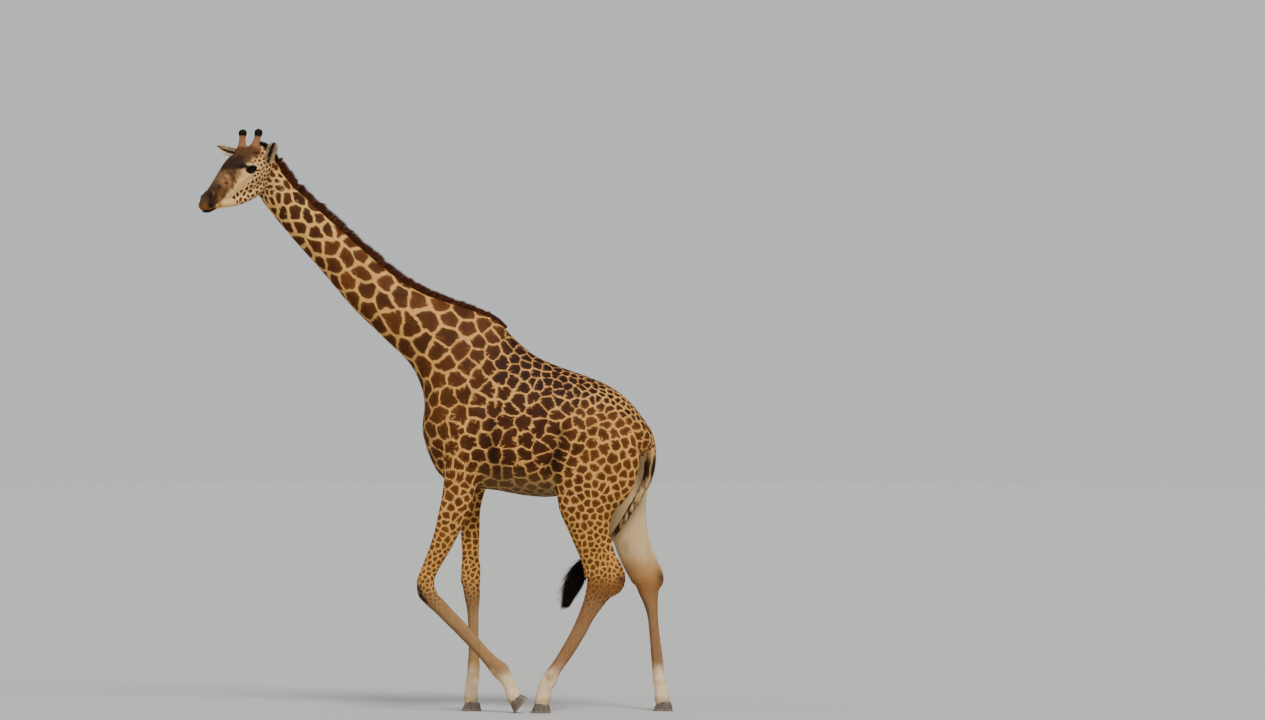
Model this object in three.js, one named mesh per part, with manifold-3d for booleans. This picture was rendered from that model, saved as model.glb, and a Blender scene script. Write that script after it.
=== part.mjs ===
// A life-size walking giraffe as closed solids: one node for each part that a person would name.
// Millimetres, +Z up. The animal faces -X, and its left side is towards -Y.
// Sizes are laid out from a datum on the ground below the withers. The last step moves the whole
// animal so that the origin is at the centre of its bounding box, on the ground.
import * as THREE from "three";
import { mergeVertices } from "three/addons/utils/BufferGeometryUtils.js";
import Module from "manifold-3d";

const wasm = await Module();
wasm.setup();

// ---- Driving dimensions -------------------------------------------------------------------------

const GAP = 0.3; // between neighbouring nodes
const FOOT_SPREAD = 125; // from the midline to the middle of each foot
const HEAD_YAW = 47; // degrees, turned to the animal's left
const HEAD_PITCH = 31; // degrees, nose below the horizontal
const POLL = [-1597, -35, 3772]; // middle of the back of the head
const EYE = { along: 240, side: 101, up: 48, radius: 27 };
const EAR = { length: 220, half: 46 };
const OSSICONE = { along: 104, side: 64, up: 126, length: 138, shaft: 19, knob: 29 };
const HOOF = { length: 138, width: 56, height: 74, slope: 20, between: 5 };
const TOE_OFF = 49; // degrees that the sole of the lifted left fore hoof is tipped
const MANE = { height: 62, half: 17, sunk: 30 };

const rad = (degrees) => (degrees * Math.PI) / 180;
const lerp = (a, b, k) => a + (b - a) * k;
const smooth = (k) => k * k * (3 - 2 * k);
const V = (x, y, z) => new THREE.Vector3(x, y, z);

// ---- Shape tools --------------------------------------------------------------------------------

// Rows of sizes joined by a Catmull-Rom curve. k runs from 0 at the first row to 1 at the last.
function sample(rows, k) {
  const f = Math.min(Math.max(k, 0), 1) * (rows.length - 1);
  const i = Math.min(Math.floor(f), rows.length - 2);
  const u = f - i;
  const row = (j) => rows[Math.min(Math.max(j, 0), rows.length - 1)];
  return rows[i].map((b, c) => {
    const [a, d, e] = [row(i - 1)[c], row(i + 1)[c], row(i + 2)[c]];
    const bend = (2 * a - 5 * b + 4 * d - e) * u * u + (3 * b - a - 3 * d + e) * u * u * u;
    return b + 0.5 * ((d - a) * u + bend);
  });
}

// Which way the first and the last ring of a body move when the body grows: -1, 0 or 1.
const endStep = (i, steps) => (i === 0 ? -1 : i === steps ? 1 : 0);

// A closed body over a list of rings that hold the same number of points. Its ends are laced from
// one half of the ring to the other, which also closes the end of a curled ring.
function skin(rings) {
  const n = rings[0].length;
  const points = rings.flat();
  const faces = [];
  for (let i = 0; i + 1 < rings.length; i++)
    for (let j = 0; j < n; j++) {
      const [a, b] = [i * n + j, i * n + ((j + 1) % n)];
      faces.push(a, b, b + n, a, b + n, a + n);
    }
  const end = (rings.length - 1) * n;
  for (let j = 0, k = n - 1; j + 1 < k; j++, k--) {
    faces.push(j, k, j + 1, end + j, end + j + 1, end + k);
    if (j + 1 < k - 1) faces.push(j + 1, k, k - 1, end + j + 1, end + k - 1, end + k);
  }
  let volume = 0;
  for (let i = 0; i < faces.length; i += 3) {
    const [a, b, c] = [0, 1, 2].map((k) => points[faces[i + k]]);
    volume += a.dot(V(0, 0, 0).crossVectors(b, c));
  }
  if (volume < 0) faces.reverse();
  const geometry = new THREE.BufferGeometry().setFromPoints(points);
  geometry.setIndex(faces);
  return geometry;
}

// A three.js geometry as a solid for cuts and joins, and back.
function solid(geometry, matrix = new THREE.Matrix4()) {
  const bare = new THREE.BufferGeometry();
  bare.setAttribute("position", geometry.getAttribute("position").clone());
  bare.setIndex(geometry.index);
  bare.applyMatrix4(matrix);
  const merged = mergeVertices(bare, 1e-3);
  const vertProperties = merged.attributes.position.array;
  const triVerts = new Uint32Array(merged.index.array);
  return new wasm.Manifold(new wasm.Mesh({ numProp: 3, vertProperties, triVerts }));
}

function geometryOf(body) {
  const mesh = body.getMesh();
  const geometry = new THREE.BufferGeometry();
  geometry.setAttribute("position", new THREE.BufferAttribute(mesh.vertProperties, 3));
  geometry.setIndex(new THREE.BufferAttribute(mesh.triVerts, 1));
  return geometry;
}

const join = (bodies) => bodies.reduce((a, b) => a.add(b));
const cut = (body, tools) => tools.reduce((a, b) => a.subtract(b), body);

// The largest piece of a body, without the crumbs that a cut can leave.
function main(body) {
  const pieces = body.decompose();
  return pieces.reduce((a, b) => (b.volume() > a.volume() ? b : a));
}

// Points of a superellipse: across and up run from -1 to 1. A roundness of 2 is an ellipse.
function oval(sides, roundness, place) {
  return Array.from({ length: sides }, (_, j) => {
    const angle = (2 * Math.PI * (j + 0.5)) / sides;
    const power = (v) => Math.sign(v) * Math.abs(v) ** (2 / roundness);
    return place(power(Math.cos(angle)), power(Math.sin(angle)));
  });
}

// Everything behind a plane through point, as a slab. The normal points out of the slab.
function behind(point, normal) {
  const size = 9000;
  const turn = new THREE.Quaternion().setFromUnitVectors(V(0, 0, 1), normal.clone().normalize());
  const matrix = new THREE.Matrix4().compose(point, turn, V(1, 1, 1));
  return solid(new THREE.BoxGeometry(size, size, size).translate(0, 0, -size / 2), matrix);
}

// Parts a body by a plane and leaves GAP between: [the part behind the plane, the part before it].
function split(body, point, normal) {
  const far = point.clone().add(normal.clone().normalize().multiplyScalar(GAP));
  return [body.intersect(behind(point, normal)), body.subtract(behind(far, normal))];
}

// ---- Torso and neck -----------------------------------------------------------------------------

// From the head to the rump: top x, top z, bottom x, bottom z, half width, narrowing of the top,
// side shift, and turn of the section in degrees.
const TORSO = [
  [-1520, 3745, -1640, 3520, 72, 0.05, -34, 26],
  [-1425, 3600, -1582, 3428, 76, 0.05, -24, 14],
  [-1225, 3412, -1415, 3222, 84, 0.08, -8, 4],
  [-1005, 3215, -1215, 2998, 93, 0.1, 0, 0],
  [-780, 3018, -1010, 2755, 104, 0.12, 0, 0],
  [-560, 2868, -795, 2545, 122, 0.16, 0, 0],
  [-345, 2785, -605, 2350, 152, 0.2, 0, 0],
  [-150, 2722, -520, 2130, 196, 0.26, 0, 0],
  [-15, 2662, -522, 1860, 240, 0.3, 0, 0],
  [95, 2552, -370, 1570, 268, 0.3, 0, 0],
  [235, 2432, -20, 1502, 292, 0.26, 0, 0],
  [410, 2352, 225, 1462, 308, 0.2, 0, 0],
  [585, 2290, 425, 1470, 304, 0.14, 0, 0],
  [755, 2215, 640, 1560, 280, 0.1, 0, 0],
  [890, 2110, 830, 1660, 232, 0.08, 0, 0],
  [985, 1985, 960, 1740, 150, 0, 0, 0],
  [1030, 1895, 1035, 1800, 60, 0, 0, 0],
];

function torso() {
  const steps = 31;
  const rings = [];
  for (let i = 0; i <= steps; i++) {
    const [topX, topZ, bottomX, bottomZ, half, narrow, shift, turn] = sample(TORSO, i / steps);
    const middle = V((topX + bottomX) / 2, shift, (topZ + bottomZ) / 2);
    const up = V((topX - bottomX) / 2, 0, (topZ - bottomZ) / 2);
    const side = V(-Math.sin(rad(turn)), Math.cos(rad(turn)), 0);
    const place = (across, rise) => {
      const reach = across * half * (1 - narrow * rise);
      return middle.clone().addScaledVector(side, reach).addScaledVector(up, rise);
    };
    rings.push(oval(22, 2.15, place));
  }
  return solid(skin(rings));
}

// ---- Legs and tail ------------------------------------------------------------------------------

// A limb's rows are x, z, side distance, half depth, half width, and thinning of its rear edge.
// Each section is square to the limb as seen from the side.
function limb(rows, side, steps, sides, grow = 0) {
  const rings = [];
  for (let i = 0; i <= steps; i++) {
    const k = i / steps;
    const [x, z, away, depth, half, thin] = sample(rows, k);
    const [before, after] = [sample(rows, k - 0.02), sample(rows, k + 0.02)];
    const along = V(after[0] - before[0], 0, after[1] - before[1]).normalize();
    const front = V(along.z, 0, -along.x);
    const middle = V(x, side * away, z).addScaledVector(along, endStep(i, steps) * grow);
    const place = (ahead, across) => {
      const reach = across * (half + grow) * (1 + thin * ahead);
      return middle.clone().addScaledVector(front, ahead * (depth + grow)).add(V(0, reach, 0));
    };
    rings.push(oval(sides, 2.2, place));
  }
  return solid(skin(rings));
}

const FORE_LIFTED = [
  [-150, 2120, 120, 110, 60, 0],
  [-180, 2000, 150, 205, 108, 0.1],
  [-225, 1790, 168, 168, 104, 0.2],
  [-262, 1590, 168, 122, 82, 0.2],
  [-309, 1375, 160, 102, 62, 0.15],
  [-382, 1170, 150, 77, 52, 0.1],
  [-462, 1000, 144, 61, 46, 0.05],
  [-502, 890, 140, 58, 51, 0],
  [-474, 795, 138, 59, 50, 0],
  [-393, 705, 136, 51, 38, -0.1],
  [-245, 552, 133, 47, 33, -0.15],
  [-98, 392, 130, 44, 33, -0.15],
  [2, 284, 128, 58, 44, -0.1],
  [60, 205, FOOT_SPREAD, 47, 40, 0],
  [88, 140, FOOT_SPREAD, 50, 47, 0],
  [104, 84, FOOT_SPREAD, 52, 50, 0],
];

const FORE_PLANTED = [
  [-120, 2080, 120, 110, 60, 0],
  [-140, 1950, 150, 200, 106, 0.1],
  [-170, 1750, 166, 156, 100, 0.2],
  [-188, 1580, 166, 110, 76, 0.2],
  [-204, 1400, 158, 74, 58, 0.15],
  [-206, 1220, 150, 68, 50, 0.1],
  [-204, 1050, 143, 62, 45, 0.05],
  [-200, 915, 140, 64, 50, 0],
  [-195, 805, 138, 59, 50, 0],
  [-190, 690, 135, 42, 36, -0.1],
  [-185, 500, 132, 35, 32, -0.15],
  [-185, 345, 129, 39, 33, -0.15],
  [-190, 215, 127, 48, 43, -0.1],
  [-198, 135, FOOT_SPREAD, 46, 42, 0],
  [-203, 50, FOOT_SPREAD, 52, 50, 0],
];

const HIND_FORWARD = [
  [705, 2060, 115, 120, 56, 0],
  [694, 1965, 145, 225, 110, 0],
  [664, 1790, 170, 300, 124, 0],
  [633, 1590, 178, 290, 118, 0.1],
  [598, 1400, 172, 200, 96, 0.15],
  [616, 1220, 162, 138, 70, 0.25],
  [672, 1050, 154, 124, 53, 0.4],
  [711, 915, 150, 145, 50, 0.5],
  [666, 812, 147, 88, 46, 0.2],
  [592, 668, 143, 57, 37, 0],
  [531, 545, 139, 50, 33, -0.1],
  [452, 410, 134, 46, 32, -0.1],
  [380, 302, 130, 44, 34, -0.1],
  [330, 218, 127, 53, 44, -0.1],
  [303, 140, FOOT_SPREAD, 51, 42, 0],
  [283, 50, FOOT_SPREAD, 54, 50, 0],
];

const HIND_PLANTED = [
  [775, 2060, 115, 120, 56, 0],
  [772, 1965, 145, 215, 110, 0],
  [774, 1790, 170, 262, 124, 0],
  [792, 1590, 178, 236, 116, 0.1],
  [826, 1400, 172, 178, 94, 0.15],
  [876, 1220, 162, 134, 69, 0.25],
  [935, 1050, 154, 122, 52, 0.4],
  [1004, 905, 150, 113, 49, 0.5],
  [1014, 806, 147, 70, 45, 0.2],
  [1036, 665, 143, 40, 35, 0],
  [1050, 515, 139, 36, 31, -0.1],
  [1067, 360, 134, 41, 31, -0.1],
  [1077, 262, 130, 42, 35, -0.1],
  [1086, 208, 127, 48, 43, -0.1],
  [1098, 135, FOOT_SPREAD, 48, 42, 0],
  [1106, 50, FOOT_SPREAD, 53, 50, 0],
];

// The tail hangs from the rump and swings forward between the hocks.
const TAIL = [
  [938, 1990, 0, 36, 30, 0],
  [986, 1905, 0, 46, 36, 0],
  [1014, 1805, 0, 46, 37, 0],
  [1018, 1700, 0, 43, 34, 0],
  [1000, 1590, 0, 38, 30, 0],
  [945, 1470, 0, 31, 26, 0],
  [872, 1350, 0, 24, 22, 0],
  [795, 1235, 0, 20, 18, 0],
  [715, 1135, 0, 18, 16, 0],
  [640, 1065, 0, 17, 15, 0],
  [585, 1022, 0, 15, 13, 0],
];

// The long hairs at its end, as one tapering brush.
const BRUSH = [
  [640, 1064, 0, 26, 22, 0],
  [585, 1020, 0, 46, 36, 0],
  [532, 950, 0, 62, 46, 0],
  [495, 865, 0, 56, 42, 0],
  [470, 780, 0, 36, 30, 0],
  [455, 715, 0, 12, 12, 0],
];

// ---- Head ---------------------------------------------------------------------------------------

// The head's own frame: along from the poll to the nose, side to the animal's left, then up.
const aim = V(-Math.cos(rad(HEAD_YAW)), -Math.sin(rad(HEAD_YAW)), 0);
aim.multiplyScalar(Math.cos(rad(HEAD_PITCH))).setZ(-Math.sin(rad(HEAD_PITCH)));
const leftward = V(Math.sin(rad(HEAD_YAW)), -Math.cos(rad(HEAD_YAW)), 0);
const upward = V(0, 0, 0).crossVectors(aim, leftward);
const HEAD = new THREE.Matrix4().makeBasis(aim, leftward, upward).setPosition(...POLL);

// Skull and muzzle: along, top, bottom, half width, narrowing of the top.
const SKULL = [
  [-40, 70, -60, 62, 0],
  [0, 108, -92, 88, 0],
  [60, 130, -120, 104, -0.02],
  [120, 142, -138, 112, -0.08],
  [190, 150, -144, 115, -0.2],
  [254, 150, -138, 112, -0.26],
  [331, 145, -118, 88, -0.1],
  [421, 124, -88, 68, 0.06],
  [510, 94, -54, 55, 0.12],
  [590, 71, -30, 49, 0.14],
  [640, 54, -24, 47, 0.16],
  [672, 38, -20, 40, 0.12],
  [686, 18, -8, 24, 0],
];

const JAW = [
  [70, -40, -110, 50, 0],
  [130, -40, -162, 72, 0],
  [220, -60, -182, 74, 0],
  [330, -70, -168, 62, 0],
  [440, -50, -134, 52, 0],
  [530, -26, -92, 45, 0],
  [610, -14, -62, 41, 0],
  [655, -8, -52, 37, 0],
  [680, -12, -36, 24, 0],
];

function headLoft(rows, sides, steps) {
  const rings = [];
  for (let i = 0; i <= steps; i++) {
    const [along, top, bottom, half, narrow] = sample(rows, i / steps);
    const place = (across, rise) => {
      const reach = across * half * (1 - narrow * rise);
      return V(along, reach, (top + bottom) / 2 + (rise * (top - bottom)) / 2);
    };
    rings.push(oval(sides, 2.25, place));
  }
  return solid(skin(rings), HEAD);
}

// An ellipsoid in the head's frame, tilted in the plane of along and up.
function swelling(centre, radii, tilt, grow, wide, high) {
  const turn = new THREE.Quaternion().setFromAxisAngle(V(0, 1, 0), rad(tilt));
  const local = new THREE.Matrix4().compose(V(...centre), turn, V(...radii).addScalar(grow));
  return solid(new THREE.SphereGeometry(1, wide, high), HEAD.clone().multiply(local));
}

function headMass() {
  const parts = [headLoft(SKULL, 18, 16), headLoft(JAW, 12, 10)];
  for (const side of [-1, 1]) {
    parts.push(swelling([240, side * 89, 54], [56, 34, 38], 12, 0, 10, 6)); // orbit
    parts.push(swelling([612, side * 28, 42], [42, 20, 20], 20, 0, 8, 5)); // nostril
  }
  return join(parts);
}

// A cupped leaf of an ear. root, tip and mouth are in the head's frame. The cup opens to mouth.
function ear(root, tip, mouth, grow) {
  const up = V(...tip).normalize();
  const out = V(...mouth).addScaledVector(up, -V(...mouth).dot(up)).normalize();
  const across = V(0, 0, 0).crossVectors(up, out);
  const [steps, arc] = [7, 5];
  const rings = [];
  for (let i = 0; i <= steps; i++) {
    const k = i / steps;
    const width = Math.sin(Math.PI * Math.min(0.14 + k * 0.7, 1)) * (1 - 0.8 * k ** 5);
    const fold = lerp(2.3, 1, smooth(Math.min(k * 1.4, 1))); // half the angle of the cup
    const radius = lerp(14, EAR.half, width) / Math.min(fold, Math.PI / 2);
    const wall = lerp(9, 4, k) / 2 + grow;
    const place = (angle, r) =>
      V(...root)
        .addScaledVector(up, k * EAR.length + endStep(i, steps) * grow)
        .addScaledVector(across, r * Math.sin(angle))
        .addScaledVector(out, radius * 0.4 - r * Math.cos(angle));
    const back = [];
    const front = [];
    for (let j = 0; j <= arc; j++) {
      const angle = lerp(-1, 1, j / arc) * (fold + grow / radius);
      back.push(place(angle, radius + wall));
      front.unshift(place(angle * 0.97, Math.max(radius - wall, radius * 0.4)));
    }
    rings.push([...back, ...front]);
  }
  return solid(skin(rings), HEAD);
}

const EARS = {
  left: { root: [50, 78, 8], tip: [0.1, 0.72, 0.62], mouth: [0.9, 0.4, -0.2] },
  right: { root: [62, -82, 30], tip: [0.38, -0.67, 0.64], mouth: [0.2, 0.52, 0.8] },
};

// A short horn with a swollen end, turned from its profile. It leans back and a little outwards.
function ossicone(side, grow) {
  const { along, side: away, up, length, shaft, knob } = OSSICONE;
  const profile = [
    [0, -26],
    [shaft + 12, -26],
    [shaft + 10, 6],
    [shaft + 3, 32],
    [shaft, length * 0.5],
    [shaft + 2, length * 0.6],
    [knob - 2, length * 0.7],
    [knob, length * 0.8],
    [knob * 0.86, length * 0.92],
    [knob * 0.45, length],
    [0, length],
  ];
  const points = profile.map(([r, y]) => new THREE.Vector2(r && r + grow, y + Math.sign(y) * grow));
  const lean = V(-0.66, side * 0.12, 0.74).normalize();
  const turn = new THREE.Quaternion().setFromUnitVectors(V(0, 1, 0), lean);
  const local = new THREE.Matrix4().compose(V(along, side * away, up), turn, V(1, 1, 1));
  return solid(new THREE.LatheGeometry(points, 12), HEAD.clone().multiply(local));
}

// What the lower jaw takes: everything below the line of the mouth, ahead of the throat.
function jawRegion(grow) {
  const [front, back, deep, slope] = [760, 150, 300, 8.5];
  const box = new THREE.BoxGeometry(front - back + 2 * grow, 600, deep + 2 * grow);
  box.translate((front + back) / 2 - 700, 0, -deep / 2);
  const local = new THREE.Matrix4().makeRotationY(-rad(slope)).setPosition(700, 0, -18);
  return solid(box, HEAD.clone().multiply(local));
}

function eyeball(side, grow) {
  const { along, side: away, up, radius } = EYE;
  return swelling([along, side * away, up], [radius, radius, radius], 0, grow, 12, 8);
}

// ---- Hooves and mane ----------------------------------------------------------------------------

// Where each foot stands: its toe, its side and the tip of its sole in degrees.
const FEET = {
  fore_left: { x: 100, z: -4, side: -1, tip: TOE_OFF },
  fore_right: { x: -268, z: 0, side: 1, tip: 0 },
  hind_left: { x: 210, z: 0, side: -1, tip: 0 },
  hind_right: { x: 1040, z: 0, side: 1, tip: 0 },
};

function footFrame({ x, z, side, tip }) {
  const turn = new THREE.Matrix4().makeRotationY(-rad(tip));
  return turn.setPosition(x, side * FOOT_SPREAD, z);
}

// One of the two claws of a foot. In the foot's frame the toe is at 0 and the heel at HOOF.length.
function claw(foot, across) {
  const { length, width, height, slope, between } = HOOF;
  const steps = 4;
  const rings = [];
  for (let i = 0; i <= steps; i++) {
    const k = i / steps;
    const [toe, heel] = [lerp(0, 34, k), lerp(length, length - 12, k)];
    const half = lerp(width, width * 0.84, k * k) / 2;
    const place = (back, out) => {
      const x = lerp(toe, heel, (back + 1) / 2);
      const taper = 1 - 0.3 * Math.max(-back, 0) ** 2;
      const middle = across * (width / 2 + between / 2 - 5 * k - 6 * Math.max(-back, 0) ** 2);
      return V(x, middle + out * half * taper, k * (height - (slope * x) / length));
    };
    rings.push(oval(10, 2.7, place));
  }
  return solid(skin(rings), footFrame(foot)).intersect(behind(V(0, 0, 0), V(0, 0, -1)));
}

// What a leg keeps: everything above the top of its hooves.
function aboveHooves(foot) {
  const frame = footFrame(foot);
  const point = V(0, 0, HOOF.height + GAP).applyMatrix4(frame);
  return behind(point, V(-HOOF.slope, 0, -HOOF.length).transformDirection(frame));
}

// The mane stands on the crest of the neck, from behind the ears to the withers.
function mane(grow) {
  const [steps, first, last] = [20, 0.002, 0.53];
  const rings = [];
  for (let i = 0; i <= steps; i++) {
    const k = i / steps;
    const [topX, topZ, bottomX, bottomZ, , , shift] = sample(TORSO, lerp(first, last, k));
    const up = V(topX - bottomX, 0, topZ - bottomZ).normalize();
    const fade = Math.min(1, 0.7 + k * 5) * lerp(1, 0.1, smooth(Math.max(k - 0.62, 0) / 0.38));
    const { half, sunk } = MANE;
    const tall = sunk + MANE.height * fade;
    const profile = [
      [half, 0],
      [half, sunk],
      [half * 0.7, lerp(sunk, tall, 0.7)],
      [0, tall],
      [-half * 0.7, lerp(sunk, tall, 0.7)],
      [-half, sunk],
      [-half, 0],
    ];
    const back = V(-up.z, 0, up.x).multiplyScalar(-endStep(i, steps) * grow);
    const place = ([y, h]) => {
      const root = V(topX, shift + y + Math.sign(y) * grow, topZ).add(back);
      return root.addScaledVector(up, (h ? h + grow : -grow) - sunk);
    };
    rings.push(profile.map(place));
  }
  return solid(skin(rings));
}

// ---- The whole animal, cut into its parts -------------------------------------------------------

// For each leg: its rows, the level where it leaves the trunk, and the plane through its knee or
// hock as a point and a normal in x and z.
const LEGS = {
  fore_left: { rows: FORE_LIFTED, level: 1560, joint: [-500, 885], normal: [0.1, 1] },
  fore_right: { rows: FORE_PLANTED, level: 1560, joint: [-196, 900], normal: [0, 1] },
  hind_left: { rows: HIND_FORWARD, level: 1640, joint: [690, 880], normal: [0.2, 1] },
  hind_right: { rows: HIND_PLANTED, level: 1640, joint: [1010, 880], normal: [0, 1] },
};

const nodes = {};
const trunkAndNeck = [torso()];
const sockets = [];
for (const [name, { rows, level, joint, normal }] of Object.entries(LEGS)) {
  const foot = FEET[name];
  const whole = limb(rows, foot.side, 19, 12);
  const [below, above] = split(whole, V(0, 0, level), V(0, 0, 1));
  trunkAndNeck.push(above);
  sockets.push(limb(rows, foot.side, 19, 12, GAP).intersect(behind(V(0, 0, level), V(0, 0, 1))));
  const leg = below.intersect(aboveHooves(foot));
  const [lower, upper] = split(leg, V(joint[0], 0, joint[1]), V(normal[0], 0, normal[1]));
  nodes[`leg_${name}_upper`] = upper;
  nodes[`leg_${name}_lower`] = lower;
  nodes[`hoof_${name}_outer`] = claw(foot, foot.side);
  nodes[`hoof_${name}_inner`] = claw(foot, -foot.side);
}

const headPlane = [V(-1530, -30, 3650), V(-0.886, -0.1, 0.464)];
const neckPlane = [V(-430, 0, 2470), V(-0.84, 0, 0.54)];
const tail = limb(TAIL, 1, 18, 8);
const headTools = [mane(GAP)];
const headParts = {};
for (const [name, side] of [["left", 1], ["right", -1]]) {
  const { root, tip, mouth } = EARS[name];
  headParts[`ear_${name}`] = ear(root, tip, mouth, 0);
  headParts[`ossicone_${name}`] = ossicone(side, 0);
  headParts[`eye_${name}`] = eyeball(side, 0);
  headTools.push(ear(root, tip, mouth, 3 * GAP), ossicone(side, GAP), eyeball(side, GAP));
}

const body = cut(join([...trunkAndNeck, headMass()]), [...sockets, limb(TAIL, 1, 18, 8, GAP)]);
const [rest, wholeHead] = split(cut(body, headTools), ...headPlane);
headParts.head = wholeHead.subtract(jawRegion(GAP));
headParts.lower_jaw = wholeHead.intersect(jawRegion(0));
const [trunk, neck] = split(rest, ...neckPlane);
Object.assign(nodes, { trunk, neck, ...headParts, mane: mane(0), tail });
nodes.tail_tuft = limb(BRUSH, 1, 10, 8).subtract(limb(TAIL, 1, 18, 8, GAP));

const COLOURS = [
  [/^hoof/, 0x3b342d],
  [/^eye/, 0x17110d],
  [/^tail_tuft/, 0x15110f],
  [/^mane/, 0x5a2f1a],
  [/^ossicone/, 0x6b4527],
  [/^(leg.*lower)/, 0xb08a5a],
  [/./, 0xb98a4e],
];

const giraffe = new THREE.Group();
for (const [name, part] of Object.entries(nodes)) {
  const color = COLOURS.find(([pattern]) => pattern.test(name))[1];
  const material = new THREE.MeshStandardMaterial({ color, roughness: 0.8 });
  const mesh = new THREE.Mesh(geometryOf(main(part)), material);
  mesh.name = name;
  giraffe.add(mesh);
}

const box = new THREE.Box3().setFromObject(giraffe);
const centre = box.getCenter(V(0, 0, 0));
giraffe.position.set(-centre.x, -centre.y, -box.min.z);

export default giraffe;
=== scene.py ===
"""A walking giraffe, life size: one skin with its markings, short coat, mane, tail, ears, eyes and hooves.

Shapes are laid out in millimetres from a datum on the ground below the withers, facing -X with the
left side towards -Y. to_frame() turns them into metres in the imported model's frame.
"""
import math

import bpy
import numpy as np
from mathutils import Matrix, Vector
from mathutils.kdtree import KDTree


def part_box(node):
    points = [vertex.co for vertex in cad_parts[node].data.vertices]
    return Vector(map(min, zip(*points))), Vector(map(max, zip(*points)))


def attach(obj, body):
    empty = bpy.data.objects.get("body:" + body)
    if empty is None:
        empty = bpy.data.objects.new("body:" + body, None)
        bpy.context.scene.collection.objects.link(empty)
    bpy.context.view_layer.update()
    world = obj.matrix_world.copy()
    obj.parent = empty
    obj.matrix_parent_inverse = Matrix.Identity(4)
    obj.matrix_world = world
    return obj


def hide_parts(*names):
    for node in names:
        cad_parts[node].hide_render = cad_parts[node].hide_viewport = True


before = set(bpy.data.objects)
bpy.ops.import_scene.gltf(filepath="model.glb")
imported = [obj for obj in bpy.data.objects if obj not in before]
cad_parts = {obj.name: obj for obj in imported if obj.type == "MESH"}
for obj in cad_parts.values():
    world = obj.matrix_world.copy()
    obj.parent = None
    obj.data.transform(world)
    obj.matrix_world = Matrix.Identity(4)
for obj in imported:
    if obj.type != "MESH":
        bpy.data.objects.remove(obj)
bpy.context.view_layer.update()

# The datum's place in the frame is read off the hind claws, whose places from the datum are known.
HIND_TOE = 1040
HIND_CLAWS = [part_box(f"hoof_hind_{side}_outer") for side in ("right", "left")]
SHIFT = np.array([HIND_CLAWS[0][0].x - HIND_TOE / 1000, (HIND_CLAWS[0][1].y + HIND_CLAWS[1][0].y) / 2, 0.0])
VOXEL = 0.0085
COAT = 4.0  # depth of the coat over the skin, in millimetres
FACE_COAT = 2.5  # and on the face and the lower legs
NO_MARK = -20.0  # edge distance of places that have no patches


def to_frame(points):
    return np.asarray(points, float) / 1000 + SHIFT


# ---- Small tools --------------------------------------------------------------------------------

def rgb(r, g, b):
    """An sRGB colour from 0 to 255, as linear light."""
    c = np.array([r, g, b]) / 255
    return np.where(c <= 0.04045, c / 12.92, ((c + 0.055) / 1.055) ** 2.4)


def unit(v):
    v = np.asarray(v, float)
    return v / np.maximum(np.linalg.norm(v, axis=-1, keepdims=True), 1e-9)


def step(low, high, value):
    """Rises smoothly from 0 at low to 1 at high, or falls where low is the larger."""
    k = np.clip((np.asarray(value, float) - low) / (high - low), 0, 1)
    return k * k * (3 - 2 * k)


def lerp(a, b, k):
    return a + (b - a) * k


def rows_at(rows, k):
    """Rows of sizes joined by a Catmull-Rom curve, read at each k from 0 to 1."""
    rows = np.asarray(rows, float)
    f = np.clip(np.atleast_1d(k), 0, 1) * (len(rows) - 1)
    i = np.minimum(f.astype(int), len(rows) - 2)
    u = (f - i)[:, None]
    a, b, c, d = (rows[np.clip(i + j, 0, len(rows) - 1)] for j in (-1, 0, 1, 2))
    bend = (2 * a - 5 * b + 4 * c - d) * u**2 + (3 * b - a - 3 * c + d) * u**3
    return b + 0.5 * ((c - a) * u + bend)


def oval(sides, roundness):
    """Across and up of points round a superellipse."""
    angle = 2 * math.pi * (np.arange(sides) + 0.5) / sides
    c, s = np.cos(angle), np.sin(angle)
    power = 2 / roundness
    return np.sign(c) * abs(c) ** power, np.sign(s) * abs(s) ** power


def circle(sides):
    """Cosines and sines of points spaced evenly round a circle."""
    angle = 2 * math.pi * np.arange(sides) / sides
    return np.cos(angle), np.sin(angle)


def noise(points, size, seed):
    """Smooth noise from -1 to 1 whose bumps are about size across."""
    p = np.asarray(points, float) / size + seed * 17.31
    cell = np.floor(p).astype(np.int64)
    f = p - cell
    f = f * f * (3 - 2 * f)
    total = np.zeros(len(p))
    for corner in range(8):
        bit = np.array([corner & 1, corner >> 1 & 1, corner >> 2 & 1])
        c = cell + bit
        h = (c[:, 0] * 73856093) ^ (c[:, 1] * 19349663) ^ (c[:, 2] * 83492791) ^ (seed * 2654435)
        h = (h ^ (h >> 13)) * 1274126177
        value = ((h ^ (h >> 16)) & 0xFFFF) / 32767.5 - 1
        total += value * np.prod(np.where(bit, f, 1 - f), axis=1)
    return total


def from_segment(points, a, b):
    """Distance from each point to the segment from a to b."""
    a, b = np.asarray(a, float), np.asarray(b, float)
    k = np.clip((points - a) @ (b - a) / max((b - a) @ (b - a), 1e-9), 0, 1)
    return np.linalg.norm(points - a - k[:, None] * (b - a), axis=1)


def from_path(points, path):
    """Distance from each point to a line through the points of the path."""
    return np.min([from_segment(points, a, b) for a, b in zip(path, path[1:])], axis=0)


def around(value, centre, width):
    """A smooth hump, which is 1 where the value is at the centre."""
    return np.exp(-(((value - centre) / width) ** 2))


def closed_loft(rings):
    """Faces of a closed body over rings with the same number of points."""
    count, n = rings.shape[:2]
    i, j = np.meshgrid(np.arange(count - 1), np.arange(n), indexing="ij")
    a, b = i * n + j, i * n + (j + 1) % n
    sides = np.stack([a, b, b + n, a + n], -1).reshape(-1, 4).tolist()
    return sides + [list(range(n))[::-1], list(range((count - 1) * n, count * n))]


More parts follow.
